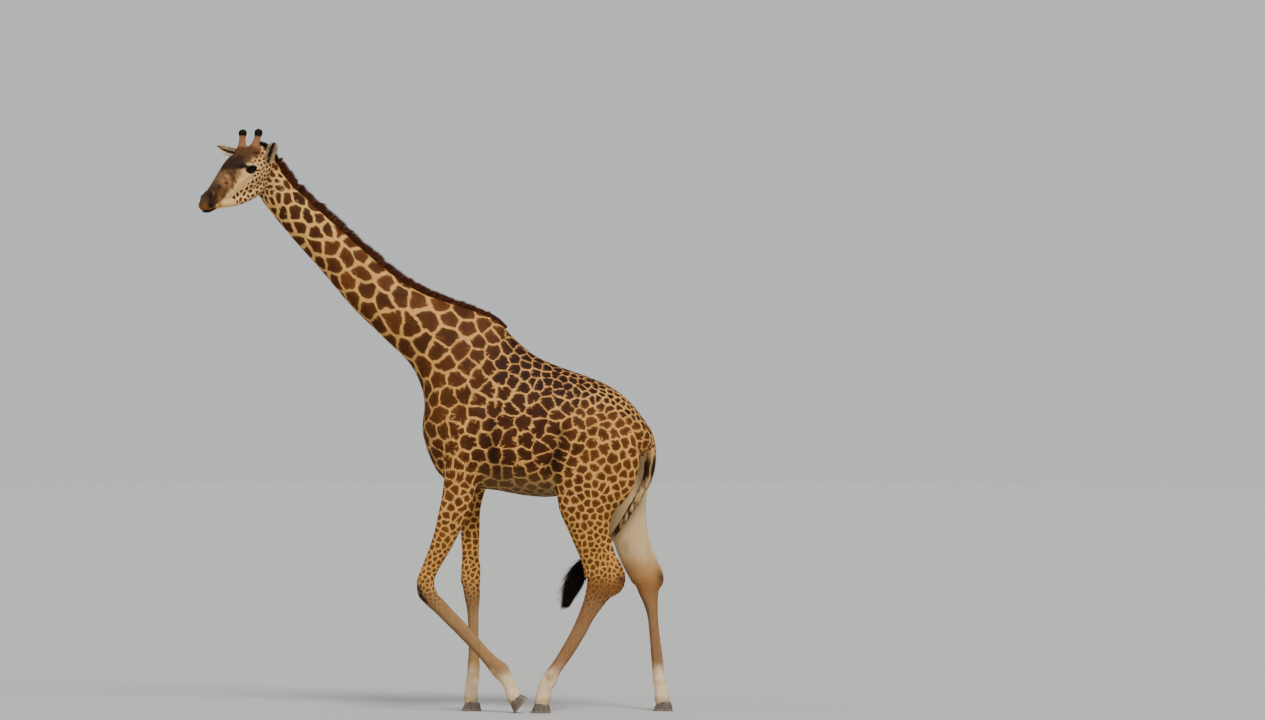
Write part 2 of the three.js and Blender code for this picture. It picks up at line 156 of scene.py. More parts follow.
def build(name, points, faces, layers=None, uv=None):
    """A smooth mesh object from points in millimetres, with its layers of numbers and colours."""
    points = np.asarray(points, float)
    mesh = bpy.data.meshes.new(name)
    if isinstance(faces, np.ndarray):
        count, n = faces.shape
        mesh.vertices.add(len(points))
        mesh.vertices.foreach_set("co", to_frame(points).astype(np.float32).ravel())
        mesh.loops.add(count * n)
        mesh.loops.foreach_set("vertex_index", faces.astype(np.int32).ravel())
        mesh.polygons.add(count)
        mesh.polygons.foreach_set("loop_start", np.arange(0, count * n, n, dtype=np.int32))
        mesh.update(calc_edges=True)
    else:
        mesh.from_pydata(to_frame(points).tolist(), [], faces)
    for key, values in (layers or {}).items():
        values = np.asarray(values, np.float32)
        if key in ("ground", "mark"):
            layer = mesh.attributes.new(key, "FLOAT_COLOR", "POINT")
            values = np.concatenate([values, np.ones((len(values), 1), np.float32)], axis=1)
            layer.data.foreach_set("color", values.ravel())
        else:
            mesh.attributes.new(key, "FLOAT_VECTOR", "POINT").data.foreach_set("vector", values.ravel())
    if uv is not None:
        vertex = np.empty(len(mesh.loops), np.int32)
        mesh.loops.foreach_get("vertex_index", vertex)
        layer = mesh.uv_layers.new(name="OFBake")
        layer.data.foreach_set("uv", uv[vertex].astype(np.float32).ravel())
    mesh.polygons.foreach_set("use_smooth", np.full(len(mesh.polygons), True))
    mesh.update()
    return linked(name, mesh)


def linked(name, data):
    """A new object in the scene."""
    obj = bpy.data.objects.new(name, data)
    bpy.context.scene.collection.objects.link(obj)
    return obj


def build_loft(name, rings, layers):
    """A closed body over rings."""
    return build(name, rings.reshape(-1, 3), closed_loft(rings), layers)


def finish_piece(obj, material, slot, *nodes):
    """Gives a piece its material and body, and the CAD nodes that it replaces. Its slot is not used."""
    obj.data.materials.append(material)
    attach(obj, "root")
    if nodes:
        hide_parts(*nodes)


# ---- Shape of the body --------------------------------------------------------------------------

FOOT_SPREAD = 125
SKIN_SCALE = 0.995  # the trunk's section against that of its solid
LIMB_SCALE = 0.985

# Rows down the neck and along the trunk: top x, top z, bottom x, bottom z, half width, narrowing of
# the top, side shift and turn of the section.
TORSO = [
    [-1520, 3745, -1640, 3520, 72, 0.05, -34, 26],
    [-1425, 3600, -1582, 3428, 76, 0.05, -24, 14],
    [-1225, 3412, -1415, 3222, 84, 0.08, -8, 4],
    [-1005, 3215, -1215, 2998, 93, 0.1, 0, 0],
    [-780, 3018, -1010, 2755, 104, 0.12, 0, 0],
    [-560, 2868, -795, 2545, 122, 0.16, 0, 0],
    [-345, 2785, -605, 2350, 152, 0.2, 0, 0],
    [-150, 2722, -520, 2130, 196, 0.26, 0, 0],
    [-15, 2662, -522, 1860, 240, 0.3, 0, 0],
    [95, 2552, -370, 1570, 268, 0.3, 0, 0],
    [235, 2432, -20, 1502, 292, 0.26, 0, 0],
    [410, 2352, 225, 1462, 308, 0.2, 0, 0],
    [585, 2290, 425, 1470, 304, 0.14, 0, 0],
    [755, 2215, 640, 1560, 280, 0.1, 0, 0],
    [890, 2110, 830, 1660, 232, 0.08, 0, 0],
    [985, 1985, 960, 1740, 150, 0, 0, 0],
    [1030, 1895, 1035, 1800, 60, 0, 0, 0],
]


def torso_rings(steps, sides):
    """Rings of the neck and trunk, from the back of the head to the rump."""
    across, rise = oval(sides, 2.15)
    rings = []
    for row in rows_at(TORSO, np.linspace(0, 1, steps + 1)):
        top_x, top_z, low_x, low_z, half, narrow, shift, turn = row
        middle = np.array([(top_x + low_x) / 2, shift, (top_z + low_z) / 2])
        up = np.array([(top_x - low_x) / 2, 0, (top_z - low_z) / 2])
        side = np.array([-math.sin(math.radians(turn)), math.cos(math.radians(turn)), 0])
        reach = across * half * (1 - narrow * rise) * SKIN_SCALE
        rings.append(middle + reach[:, None] * side + rise[:, None] * up * SKIN_SCALE)
    return np.array(rings)


def limb_rings(rows, side, steps, sides):
    """Rings of a limb, whose rows are x, z, side distance, half depth, half width and rear thinning."""
    ahead, across = oval(sides, 2.2)
    k = np.linspace(0, 1, steps + 1)
    before, after = rows_at(rows, k - 0.02), rows_at(rows, k + 0.02)
    along = unit((after - before)[:, :2])
    rings = []
    for (x, z, away, depth, half, thin), (ax, az) in zip(rows_at(rows, k), along):
        front = np.array([az, 0, -ax])
        reach = across * half * LIMB_SCALE * (1 + thin * ahead)
        ring = np.array([x, side * away, z]) + (ahead * depth * LIMB_SCALE)[:, None] * front
        rings.append(ring + reach[:, None] * [0, 1, 0])
    return np.array(rings)


# Each leg's side and its rows from top to foot.
LEGS = {
    "fore_left": (-1, [
        [-150, 2120, 120, 110, 60, 0],
        [-180, 2000, 150, 205, 108, 0.1],
        [-225, 1790, 168, 168, 104, 0.2],
        [-262, 1590, 168, 122, 82, 0.2],
        [-309, 1375, 160, 102, 62, 0.15],
        [-382, 1170, 150, 77, 52, 0.1],
        [-462, 1000, 144, 61, 46, 0.05],
        [-502, 890, 140, 58, 51, 0],
        [-474, 795, 138, 59, 50, 0],
        [-393, 705, 136, 51, 38, -0.1],
        [-245, 552, 133, 47, 33, -0.15],
        [-98, 392, 130, 44, 33, -0.15],
        [2, 284, 128, 58, 44, -0.1],
        [60, 205, FOOT_SPREAD, 47, 40, 0],
        [88, 140, FOOT_SPREAD, 50, 47, 0],
        [104, 84, FOOT_SPREAD, 52, 50, 0],
    ]),
    "fore_right": (1, [
        [-120, 2080, 120, 110, 60, 0],
        [-140, 1950, 150, 200, 106, 0.1],
        [-170, 1750, 166, 156, 100, 0.2],
        [-188, 1580, 166, 110, 76, 0.2],
        [-204, 1400, 158, 74, 58, 0.15],
        [-206, 1220, 150, 68, 50, 0.1],
        [-204, 1050, 143, 62, 45, 0.05],
        [-200, 915, 140, 64, 50, 0],
        [-195, 805, 138, 59, 50, 0],
        [-190, 690, 135, 42, 36, -0.1],
        [-185, 500, 132, 35, 32, -0.15],
        [-185, 345, 129, 39, 33, -0.15],
        [-190, 215, 127, 48, 43, -0.1],
        [-198, 135, FOOT_SPREAD, 46, 42, 0],
        [-203, 50, FOOT_SPREAD, 52, 50, 0],
    ]),
    "hind_left": (-1, [
        [705, 2060, 115, 120, 56, 0],
        [694, 1965, 145, 225, 110, 0],
        [664, 1790, 170, 300, 124, 0],
        [633, 1590, 178, 290, 118, 0.1],
        [598, 1400, 172, 200, 96, 0.15],
        [616, 1220, 162, 138, 70, 0.25],
        [672, 1050, 154, 124, 53, 0.4],
        [711, 915, 150, 145, 50, 0.5],
        [666, 812, 147, 88, 46, 0.2],
        [592, 668, 143, 57, 37, 0],
        [531, 545, 139, 50, 33, -0.1],
        [452, 410, 134, 46, 32, -0.1],
        [380, 302, 130, 44, 34, -0.1],
        [330, 218, 127, 53, 44, -0.1],
        [303, 140, FOOT_SPREAD, 51, 42, 0],
        [283, 50, FOOT_SPREAD, 54, 50, 0],
    ]),
    "hind_right": (1, [
        [775, 2060, 115, 120, 56, 0],
        [772, 1965, 145, 215, 110, 0],
        [774, 1790, 170, 262, 124, 0],
        [792, 1590, 178, 236, 116, 0.1],
        [826, 1400, 172, 178, 94, 0.15],
        [876, 1220, 162, 134, 69, 0.25],
        [935, 1050, 154, 122, 52, 0.4],
        [1004, 905, 150, 113, 49, 0.5],
        [1014, 806, 147, 70, 45, 0.2],
        [1036, 665, 143, 40, 35, 0],
        [1050, 515, 139, 36, 31, -0.1],
        [1067, 360, 134, 41, 31, -0.1],
        [1077, 262, 130, 42, 35, -0.1],
        [1086, 208, 127, 48, 43, -0.1],
        [1098, 135, FOOT_SPREAD, 48, 42, 0],
        [1106, 50, FOOT_SPREAD, 53, 50, 0],
    ]),
}

TAIL = [
    [938, 1990, 0, 36, 30, 0],
    [986, 1905, 0, 46, 36, 0],
    [1014, 1805, 0, 46, 37, 0],
    [1018, 1700, 0, 43, 34, 0],
    [1000, 1590, 0, 38, 30, 0],
    [945, 1470, 0, 31, 26, 0],
    [872, 1350, 0, 24, 22, 0],
    [795, 1235, 0, 20, 18, 0],
    [715, 1135, 0, 18, 16, 0],
    [640, 1065, 0, 17, 15, 0],
    [585, 1022, 0, 15, 13, 0],
]

BRUSH = [
    [640, 1064, 0, 26, 22, 0],
    [585, 1020, 0, 46, 36, 0],
    [532, 950, 0, 62, 46, 0],
    [495, 865, 0, 56, 42, 0],
    [470, 780, 0, 36, 30, 0],
    [455, 715, 0, 12, 12, 0],
]


# ---- Shape of the head --------------------------------------------------------------------------

POLL = np.array([-1597.0, -35.0, 3772.0])
YAW, PITCH = math.radians(47), math.radians(31)
AIM = np.array([-math.cos(YAW) * math.cos(PITCH), -math.sin(YAW) * math.cos(PITCH), -math.sin(PITCH)])
LEFTWARD = np.array([math.sin(YAW), -math.cos(YAW), 0.0])
UPWARD = np.cross(AIM, LEFTWARD)
HEAD = np.array([AIM, LEFTWARD, UPWARD])  # rows: along to the nose, to the animal's left, up


def from_head(points):
    """Points in the head's frame, as points from the datum."""
    return POLL + np.asarray(points, float) @ HEAD


def in_head(points):
    """Points from the datum, in the head's frame."""
    return (points - POLL) @ HEAD.T


def folded(points):
    """Points with the left and right sides folded together."""
    return np.stack([points[:, 0], np.abs(points[:, 1]), points[:, 2]], 1)


# Along, top, bottom, half width, narrowing of the top.
SKULL = [
    [-40, 70, -60, 62, 0],
    [0, 108, -92, 88, 0],
    [60, 130, -120, 104, -0.02],
    [120, 142, -138, 112, -0.08],
    [190, 150, -144, 115, -0.2],
    [254, 150, -138, 112, -0.26],
    [331, 145, -118, 88, -0.1],
    [421, 124, -88, 68, 0.06],
    [510, 94, -54, 55, 0.12],
    [590, 71, -30, 49, 0.14],
    [640, 54, -24, 47, 0.16],
    [672, 38, -20, 40, 0.12],
    [686, 18, -8, 24, 0],
]

JAW = [
    [70, -40, -110, 50, 0],
    [130, -40, -162, 72, 0],
    [220, -60, -182, 74, 0],
    [330, -70, -168, 62, 0],
    [440, -50, -134, 52, 0],
    [530, -26, -92, 45, 0],
    [610, -14, -62, 41, 0],
    [655, -8, -52, 37, 0],
    [680, -12, -36, 24, 0],
]

EYE = np.array([240.0, 101.0, 48.0])
EYE_RADIUS = 27
LID_HALF = 26.5
OSSICONE = {"along": 104, "side": 64, "up": 126, "length": 138, "shaft": 19, "knob": 29}


def head_rings(rows, sides, steps):
    """Rings of the skull or the jaw."""
    across, rise = oval(sides, 2.25)
    rings = []
    for along, top, low, half, narrow in rows_at(rows, np.linspace(0, 1, steps + 1)):
        reach = across * half * (1 - narrow * rise)
        up = (top + low) / 2 + rise * (top - low) / 2
        rings.append(np.stack([np.full(sides, along), reach, up], 1))
    return from_head(np.array(rings))


def swelling_rings(centre, radii, tilt, sides=24, steps=14):
    """An ellipsoid tilted by so many degrees, in the head's frame."""
    turn = math.radians(tilt)
    c, s = circle(sides)
    rings = []
    for i in range(steps + 1):
        lat = math.pi * (i + 0.02) / (steps + 0.04)
        x = np.full(sides, -math.cos(lat) * radii[0])
        y, z = math.sin(lat) * c * radii[1], math.sin(lat) * s * radii[2]
        rings.append(np.stack([x * math.cos(turn) + z * math.sin(turn), y,
                               -x * math.sin(turn) + z * math.cos(turn)], 1) + centre)
    return from_head(np.array(rings))


def ossicone_axis(side):
    """Where an ossicone stands and which way it leans, in the head's frame."""
    lean = unit(np.array([-0.66, side * 0.12, 0.74]))
    base = np.array([OSSICONE["along"], side * OSSICONE["side"], OSSICONE["up"]])
    return base, lean


def ossicone_rings(side):
    """Rings of an ossicone, from inside the skull to the top of its knob."""
    base, lean = ossicone_axis(side)
    length, shaft, knob = OSSICONE["length"], OSSICONE["shaft"], OSSICONE["knob"]
    # Radius and height, from the flare at the skull to the knob.
    profile = [
        [shaft + 34, -26],
        [shaft + 25, -8],
        [shaft + 16, 10],
        [shaft + 9, 34],
        [shaft + 5, length * 0.5],
        [shaft + 5, length * 0.6],
        [knob - 1, length * 0.7],
        [knob + 1, length * 0.8],
        [knob * 0.9, length * 0.92],
        [knob * 0.5, length - 1],
    ]
    ahead = unit(np.cross(lean, [0, 1, 0]))
    left = np.cross(lean, ahead)
    c, s = circle(28)
    ring = c[:, None] * ahead + s[:, None] * left
    rows = rows_at(profile, np.linspace(0, 1, 30))
    return from_head(np.array([base + lean * height + ring * radius for radius, height in rows]))


PARTS = {"torso": torso_rings(steps=190, sides=96), "tail": limb_rings(TAIL, 1, steps=110, sides=20)}
for leg, (side, rows) in LEGS.items():
    PARTS[leg] = limb_rings(rows, side, steps=170, sides=44)
PARTS["skull"] = head_rings(SKULL, sides=56, steps=60)
PARTS["jaw"] = head_rings(JAW, sides=40, steps=50)
for side, word in ((1, "left"), (-1, "right")):
    PARTS["orbit_" + word] = swelling_rings([240, side * 89, 54], [56, 34, 38], tilt=12)
    PARTS["nostril_" + word] = swelling_rings([612, side * 28, 42], [42, 20, 20], tilt=20)
    PARTS["ossicone_" + word] = ossicone_rings(side)
NAMES = list(PARTS)


# ---- One skin -----------------------------------------------------------------------------------

def joined_body():
    """Points and triangles of all the parts, remeshed into a single closed surface."""
    points, faces, start = [], [], 0
    for rings in PARTS.values():
        points.append(rings.reshape(-1, 3))
        faces += [[v + start for v in face] for face in closed_loft(rings)]
        start += rings.shape[0] * rings.shape[1]
    rough = build("rough", np.concatenate(points), faces)
    remesh = rough.modifiers.new("remesh", "REMESH")
    remesh.mode = "VOXEL"
    remesh.voxel_size = VOXEL
    remesh.adaptivity = 0
    evaluated = rough.evaluated_get(bpy.context.evaluated_depsgraph_get())
    mesh = evaluated.to_mesh()
    mesh.calc_loop_triangles()
    co = np.empty(len(mesh.vertices) * 3)
    mesh.vertices.foreach_get("co", co)
    triangles = np.empty(len(mesh.loop_triangles) * 3, np.int32)
    mesh.loop_triangles.foreach_get("vertices", triangles)
    evaluated.to_mesh_clear()
    bpy.data.objects.remove(rough)
    return (co.reshape(-1, 3) - SHIFT) * 1000, triangles.reshape(-1, 3).astype(np.int64)


def edges_of(triangles, count):
    """Pairs of points joined by an edge, and the numbers of each triangle's three edges."""
    pairs = np.sort(triangles[:, [0, 1, 1, 2, 2, 0]].reshape(-1, 2), axis=1)
    keys, where = np.unique(pairs[:, 0] * count + pairs[:, 1], return_inverse=True)
    return np.stack([keys // count, keys % count], 1), where.reshape(-1, 3)


def average(values, edges, count):
    """The mean of each vertex's neighbours."""
    a, b = edges.T
    degree = np.maximum(np.bincount(a, minlength=count) + np.bincount(b, minlength=count), 1)
    values = values.reshape(count, -1)
    total = np.stack([np.bincount(a, v[b], count) + np.bincount(b, v[a], count) for v in values.T], 1)
    return total / degree[:, None]


def relax(points, edges, times, weight=1.0, keep=True):
    """Smooths the surface. With keep, a second step the other way holds its volume."""
    weight = np.asarray(weight, float)
    weight = weight[:, None] if weight.ndim else weight
    for _ in range(times):
        for amount in ((0.55, -0.57) if keep else (0.5,)):
            points = points + amount * weight * (average(points, edges, len(points)) - points)
    return points


def refine(points, triangles, chosen):
    """Halves every edge whose two ends are chosen."""
    edges, where = edges_of(triangles, len(points))
    halved = chosen[edges].all(1)
    middle = np.where(halved, len(points) + np.cumsum(halved) - 1, -1)[where]
    points = np.concatenate([points, points[edges[halved]].mean(1)])
    count = (middle >= 0).sum(1)
    whole, one = triangles[count == 0], triangles[count == 1]
    a, b, c = triangles[count == 3].T
    ab, bc, ca = middle[count == 3].T
    parts = [whole, np.stack([a, ab, ca], 1), np.stack([b, bc, ab], 1), np.stack([c, ca, bc], 1),
             np.stack([ab, bc, ca], 1)]
    for turn in range(3):
        at = middle[count == 1][:, turn] >= 0
        p, q, r = one[at][:, turn], one[at][:, (turn + 1) % 3], one[at][:, (turn + 2) % 3]
        m = middle[count == 1][at][:, turn]
        parts += [np.stack([p, m, r], 1), np.stack([m, q, r], 1)]
    return points, np.concatenate(parts)


def normals_of(points, triangles):
    """The normal at each point, from the triangles round it."""
    a, b, c = points[triangles[:, 0]], points[triangles[:, 1]], points[triangles[:, 2]]
    face = np.cross(b - a, c - a)
    total = np.stack([sum(np.bincount(triangles[:, i], face[:, axis], len(points)) for i in range(3))
                      for axis in range(3)], 1)
    return unit(total)


class Labels:
    """For each skin point: its part, how far along the part, its angle round it and the lie of its hair."""

    def __init__(self, points):
        tree = KDTree(sum(r.shape[0] * r.shape[1] for r in PARTS.values()))
        part, along, angle, lie, index = [], [], [], [], 0
        for number, rings in enumerate(PARTS.values()):
            steps, sides = rings.shape[:2]
            flow = unit(np.gradient(rings, axis=0))
            for co in rings.reshape(-1, 3):
                tree.insert(co, index)
                index += 1
            part.append(np.full(steps * sides, number))
            along.append(np.repeat(np.linspace(0, 1, steps), sides))
            angle.append(np.tile(2 * math.pi * (np.arange(sides) + 0.5) / sides, steps))
            lie.append(flow.reshape(-1, 3))
        tree.balance()
        near = np.array([tree.find(p)[1] for p in points.tolist()])
        self.part = np.concatenate(part)[near]
        self.along = np.concatenate(along)[near]
        self.angle = np.concatenate(angle)[near]
        self.lie = np.concatenate(lie)[near]

    def on(self, *names):
        return np.isin(self.part, [i for i, n in enumerate(NAMES) if n.startswith(names)])


def turned(angle, centre):
    """How far an angle in degrees is from another, from -180 to 180."""
    return (np.degrees(angle) - centre + 180) % 360 - 180


# Bumps and hollows of the legs: how far along, its width, the angle round the leg with 0 at the
# front and 90 outside, its width in degrees, and the height in millimetres.
FORE_FORMS = [
    (0.10, 0.05, 60, 40, 10), (0.17, 0.06, 120, 45, 10), (0.24, 0.05, 150, 40, 8), (0.21, 0.03, 70, 25, -6),
    (0.30, 0.06, 20, 40, 5), (0.34, 0.07, 110, 35, 6), (0.40, 0.06, 65, 22, -4), (0.47, 0.025, 0, 50, 5),
    (0.47, 0.02, 180, 35, 6), (0.505, 0.022, 90, 45, 3), (0.512, 0.022, 0, 50, 11), (0.55, 0.02, 180, 40, -5),
    (0.68, 0.10, 100, 16, -4), (0.68, 0.10, 260, 16, -4), (0.66, 0.10, 180, 24, 4), (0.80, 0.02, 180, 50, 7),
    (0.84, 0.02, 0, 40, -3), (0.88, 0.02, 180, 40, -4), (0.94, 0.02, 0, 60, 3),
]
HIND_FORMS = [
    (0.10, 0.05, 120, 50, 10), (0.20, 0.07, 60, 40, 12), (0.19, 0.06, 105, 18, -8), (0.24, 0.06, 145, 35, 10),
    (0.275, 0.03, 30, 40, 9), (0.33, 0.05, 90, 40, 8), (0.37, 0.06, 135, 22, -6), (0.40, 0.06, 60, 25, 5),
    (0.43, 0.06, 128, 22, -15), (0.43, 0.06, 232, 22, -15), (0.485, 0.022, 180, 40, 8),
    (0.46, 0.04, 90, 30, -3), (0.50, 0.02, 90, 30, 4), (0.53, 0.02, 0, 50, 3), (0.535, 0.02, 75, 25, 4),
    (0.58, 0.03, 110, 25, -4),
    (0.70, 0.10, 100, 16, -4), (0.70, 0.10, 260, 16, -4), (0.68, 0.10, 180, 24, 4), (0.855, 0.02, 180, 50, 7),
    (0.90, 0.02, 180, 40, -4), (0.95, 0.02, 0, 60, 3),
]
# Bumps and hollows of the trunk and neck, on both sides: from x, y, z, to x, y, z, width, height.
TORSO_FORMS = [
    ((-60, 215, 2480), (-330, 235, 1960), 50, 12),  # spine of the shoulder blade
    ((40, 235, 2400), (-150, 260, 1900), 60, -9),
    ((-330, 220, 1900), (-180, 250, 1720), 70, 8),  # point of the shoulder
    ((-30, 285, 2060), (-50, 265, 1720), 38, -22),  # behind the elbow
    ((-110, 285, 2000), (-150, 265, 1760), 60, 12),  # upper arm
    ((-300, 250, 2120), (-190, 270, 1960), 40, -8),
    ((660, 260, 2120), (760, 260, 2080), 60, 9),  # hip bone
    ((420, 300, 2180), (600, 280, 2060), 75, -12),  # flank hollow
    ((425, 300, 1900), (345, 285, 1590), 38, -20),  # before the thigh
    ((500, 300, 1900), (440, 290, 1640), 52, 12),
    ((470, 300, 2010), (415, 300, 1930), 20, 8),  # fold of the flank
    ((900, 200, 2030), (980, 120, 1900), 60, 6),  # seat bone
    ((-560, 115, 2700), (-240, 170, 2250), 60, 6),  # base of the neck
    ((-1330, 75, 3370), (-720, 105, 2680), 34, -5),  # groove of the neck
    ((-1270, 70, 3380), (-560, 100, 2780), 40, 4),
    ((-1400, 70, 3370), (-880, 95, 2690), 30, 4),
]
# Bumps and hollows of the head, on both sides, in its own frame: along, to the left and up.
HEAD_FORMS = [
    ((195, 114, 96), (285, 100, 98), 16, 6),  # brow
    ((275, 104, 14), (430, 66, 4), 15, 5),  # cheek bone
    ((215, 92, -70), (270, 80, -120), 46, 6),  # jaw muscle
    ((345, 80, -40), (400, 66, -60), 26, -6),  # before the jaw muscle
    ((140, 104, 92), (185, 110, 66), 22, -5),  # temple
    ((330, 78, 96), (430, 58, 78), 22, -6),  # beside the nose bone
    ((330, 0, 150), (520, 0, 96), 17, 4),  # nose bone
    ((300, 0, 150), (330, 0, 148), 34, 7),
    ((560, 48, 20), (600, 46, 12), 20, -3),
    ((620, 44, -22), (668, 24, 2), 18, 5),  # upper lip
    ((628, 30, -62), (660, 14, -52), 14, 5),  # lower lip
    ((470, 40, -84), (400, 50, -118), 9, -4),  # edge of the lower jaw
    ((120, 104, 10), (170, 106, 0), 30, 3),
]
# The mouth line as along and up, and paths down the slit and over the rim of a nostril.
MOUTH = ((380, -76), (520, -60), (575, -50), (605, -47), (640, -37), (676, -23), (705, -15))
NOSTRIL = ((588, 24, 70), (596, 33, 66), (606, 40, 58), (611, 43, 48), (607, 44, 42))
NOSTRIL_RIM = ((584, 26, 74), (572, 36, 62), (568, 40, 50), (577, 44, 38), (592, 46, 32), (608, 46, 30))


def mouth_line(along):
    """Height of the line between the lips."""
    return np.interp(along, *zip(*MOUTH))


def shape_skin(points, triangles):
    """Muscles, bones, folds, lids, nostrils and lips, as moves along the normals."""
    edges, _ = edges_of(triangles, len(points))
    labels = Labels(points)
    normals = normals_of(points, triangles)
    move = np.zeros(len(points))
    for leg, (side, _) in LEGS.items():
        on = labels.on(leg)
        angle = side * labels.angle[on]
        for at, wide, centre, spread, height in FORE_FORMS if leg.startswith("fore") else HIND_FORMS:
            hump = around(labels.along[on], at, wide) * around(turned(angle, centre), 0, spread)
            move[on] += height * hump
    for a, b, width, height in TORSO_FORMS:
        for p in (points, points * [1, -1, 1]):
            move += height * around(from_segment(p, a, b), 0, width)
    x, _, z = points.T
    flank = step(0, 120, x) * step(520, 400, x) * step(1560, 1700, z) * step(2240, 2100, z)
    ribs = flank * labels.on("torso")
    move += 1.6 * ribs * np.sin((x - 0.25 * z) / 62 * 2 * math.pi)
    head = in_head(points)
    near = (head[:, 0] > -80) & (np.abs(head[:, 1]) < 150) & (np.abs(head[:, 2]) < 230)
    for a, b, width, height in HEAD_FORMS:
        move[near] += height * around(from_segment(folded(head[near]), a, b), 0, width)
    for _ in range(3):
        move = 0.5 * move + 0.5 * average(move, edges, len(points))[:, 0]
    depth = np.where(near | (labels.along > 0.45) & labels.on("fore", "hind"), FACE_COAT, COAT)
    points = points + normals * (move - depth)[:, None]
    return fine_head(points, triangles, near), labels


def fine_head(points, triangles, near):
    """The lids, nostrils and mouth."""
    head = in_head(points)[near]
    normals = (normals_of(points, triangles) @ HEAD.T)[near]
    for side in (1, -1):
        mirror = [1, side, 1]
        p, n = head * mirror, normals * mirror
        p = p + n * nostril_move(p)[:, None] + eye_axes()[0] * lid_move(p)[:, None]
        head, normals = p * mirror, n * mirror
    q = head[:, 2] - mouth_line(head[:, 0])
    there = step(572, 600, head[:, 0]) * (head[:, 0] < 700)
    lips = 3 * around(np.abs(q), 9, 5) - 5.5 * around(q, 0, 3.2)
    moved = points.copy()
    moved[near] = from_head(head + normals * (lips * there)[:, None])
    return moved


def nostril_move(p):
    """A curled slit with a rolled rim."""
    slit, rim = from_path(p, NOSTRIL), from_path(p, NOSTRIL_RIM)
    return 3.6 * around(rim, 0, 6.5) + 2 * around(slit, 12, 5) - 11 * around(slit, 0, 5.4)


def lid_move(p):
    """The skin rides out over the eyeball, is creased round it, and opens in an almond."""
    out, ahead, up = eye_axes()
    d = p - EYE
    x, y, height = d @ ahead, d @ up, d @ out
    flat = np.hypot(x, y)
    long, tall = lid_size(x, y)
    reach = np.hypot(x / long, y / tall)
    ball = np.sqrt(np.maximum(EYE_RADIUS**2 - flat**2, 0))
    lid = np.sqrt(np.maximum((EYE_RADIUS + 3.5) ** 2 - flat**2, 0))
    target = np.where(reach < 1, ball - 7, np.where(flat < EYE_RADIUS + 2, lid, height))
    hold = step(2.1, 1.25, reach) * (height > -12)
    move = hold * (target - height) * np.where(reach < 1, 1, step(2.1, 1.3, reach))
    crease = -2.5 * around(reach, 1.9, 0.18) + 1.5 * around(reach, 1.55, 0.15)
    return move + crease * (height > -5) * (flat < 70)


def eye_axes():
    """Outward, forward and upward of the left eye, in the head's frame."""
    out = unit(np.array([0.22, 0.95, 0.12]))
    ahead = np.array([1.0, 0, 0.42])
    ahead = unit(ahead - out * (ahead @ out))
    return out, ahead, np.cross(ahead, out)


def lid_size(x, y):
    """Half length and half height of the opening between the lids."""
    return np.full_like(x, LID_HALF), np.where(y > 0, 15.5, 20.0) - 0.1 * np.abs(x)


def make_skin():
    """Points and triangles of the whole skin, and the labels of its points."""
    points, triangles = joined_body()
    edges, _ = edges_of(triangles, len(points))
    x, _, z = points.T
    t, l, s = in_head(points).T
    # The joins of the legs, neck and head with the trunk are softened first.
    soft = step(1380, 1520, z) * step(2250, 2120, z) * (x > -420) * (x < 1010)
    soft = np.maximum(soft, step(110, 40, np.abs(t + 20)) * (np.abs(s + 80) < 185))
    points = relax(points, edges, 25, weight=soft, keep=False)
    points = relax(points, edges, 8)
    points, triangles = refine(points, triangles, (t > -60) & (np.abs(l) < 140) & (np.abs(s) < 240))
    # The eyes and the muzzle are refined once more.
    t, l, s = in_head(points).T
    fine = (np.abs(t - EYE[0]) < 70) & (np.abs(s - EYE[2]) < 62) & (np.abs(l) > 62) & (np.abs(l) < 150)
    fine |= (t > 535) & (np.abs(s) < 130) & (np.abs(l) < 120)
    points, triangles = refine(points, triangles, fine)
    edges, _ = edges_of(triangles, len(points))
    t, l, s = in_head(points).T
    on_head = (t > -40) & (np.abs(l) < 150) & (np.abs(s) < 240)
    points = relax(points, edges, 8, weight=on_head.astype(float))
    points, labels = shape_skin(points, triangles)
    return points, triangles, labels


# ---- Markings -----------------------------------------------------------------------------------

def blend(base, colour, k):
    """Mixes a colour into the base by k, from 0 to 1."""
    return base + (np.asarray(colour) - base) * np.asarray(k)[..., None]


def paint(base, *coats):
    """Lays colours over a base, each where its mask says."""
    for colour, mask in coats:
        base = blend(base, rgb(*colour), mask)
    return base


def table(k, *pairs):
    """Values that change with k, from pairs of k and value."""
    at, values = zip(*pairs)
    return np.interp(k, at, values)


class Places:
    """Where each skin point is on the animal, in the terms that its markings follow."""

    def __init__(self, points, normals, labels):
        self.points, self.normals, self.labels = points, normals, labels
        self.x, self.y, self.z = points.T
        self.head = in_head(points)
        skull = labels.on("skull", "jaw", "orbit", "nostril", "ossicone")
        self.face = np.maximum(skull, (self.head[:, 0] > 60) & (np.abs(self.head[:, 2]) < 240))
        self.torso = labels.on("torso") & ~skull
        self.fore, self.hind = labels.on("fore"), labels.on("hind")
        self.leg, self.tail = labels.on("fore", "hind"), labels.on("tail")
        self.k = labels.along
        rise = np.sin(labels.angle)
        self.back = self.torso * step(0.3, 0.75, rise) * step(0.5, 0.6, self.k)
        self.belly = self.torso * step(-0.5, -0.95, rise)
        self.belly = self.belly * step(0.55, 0.66, self.k) * step(0.97, 0.9, self.k)
        self.inner_thigh = self.hind * step(-0.1, 0.45, -self.normals[:, 1] * np.sign(self.y))
        self.haunch = step(380, 620, self.x) * step(2250, 2150, self.z) * ~self.face
        self.haunch *= step(1000, 1300, self.z) * ~self.tail


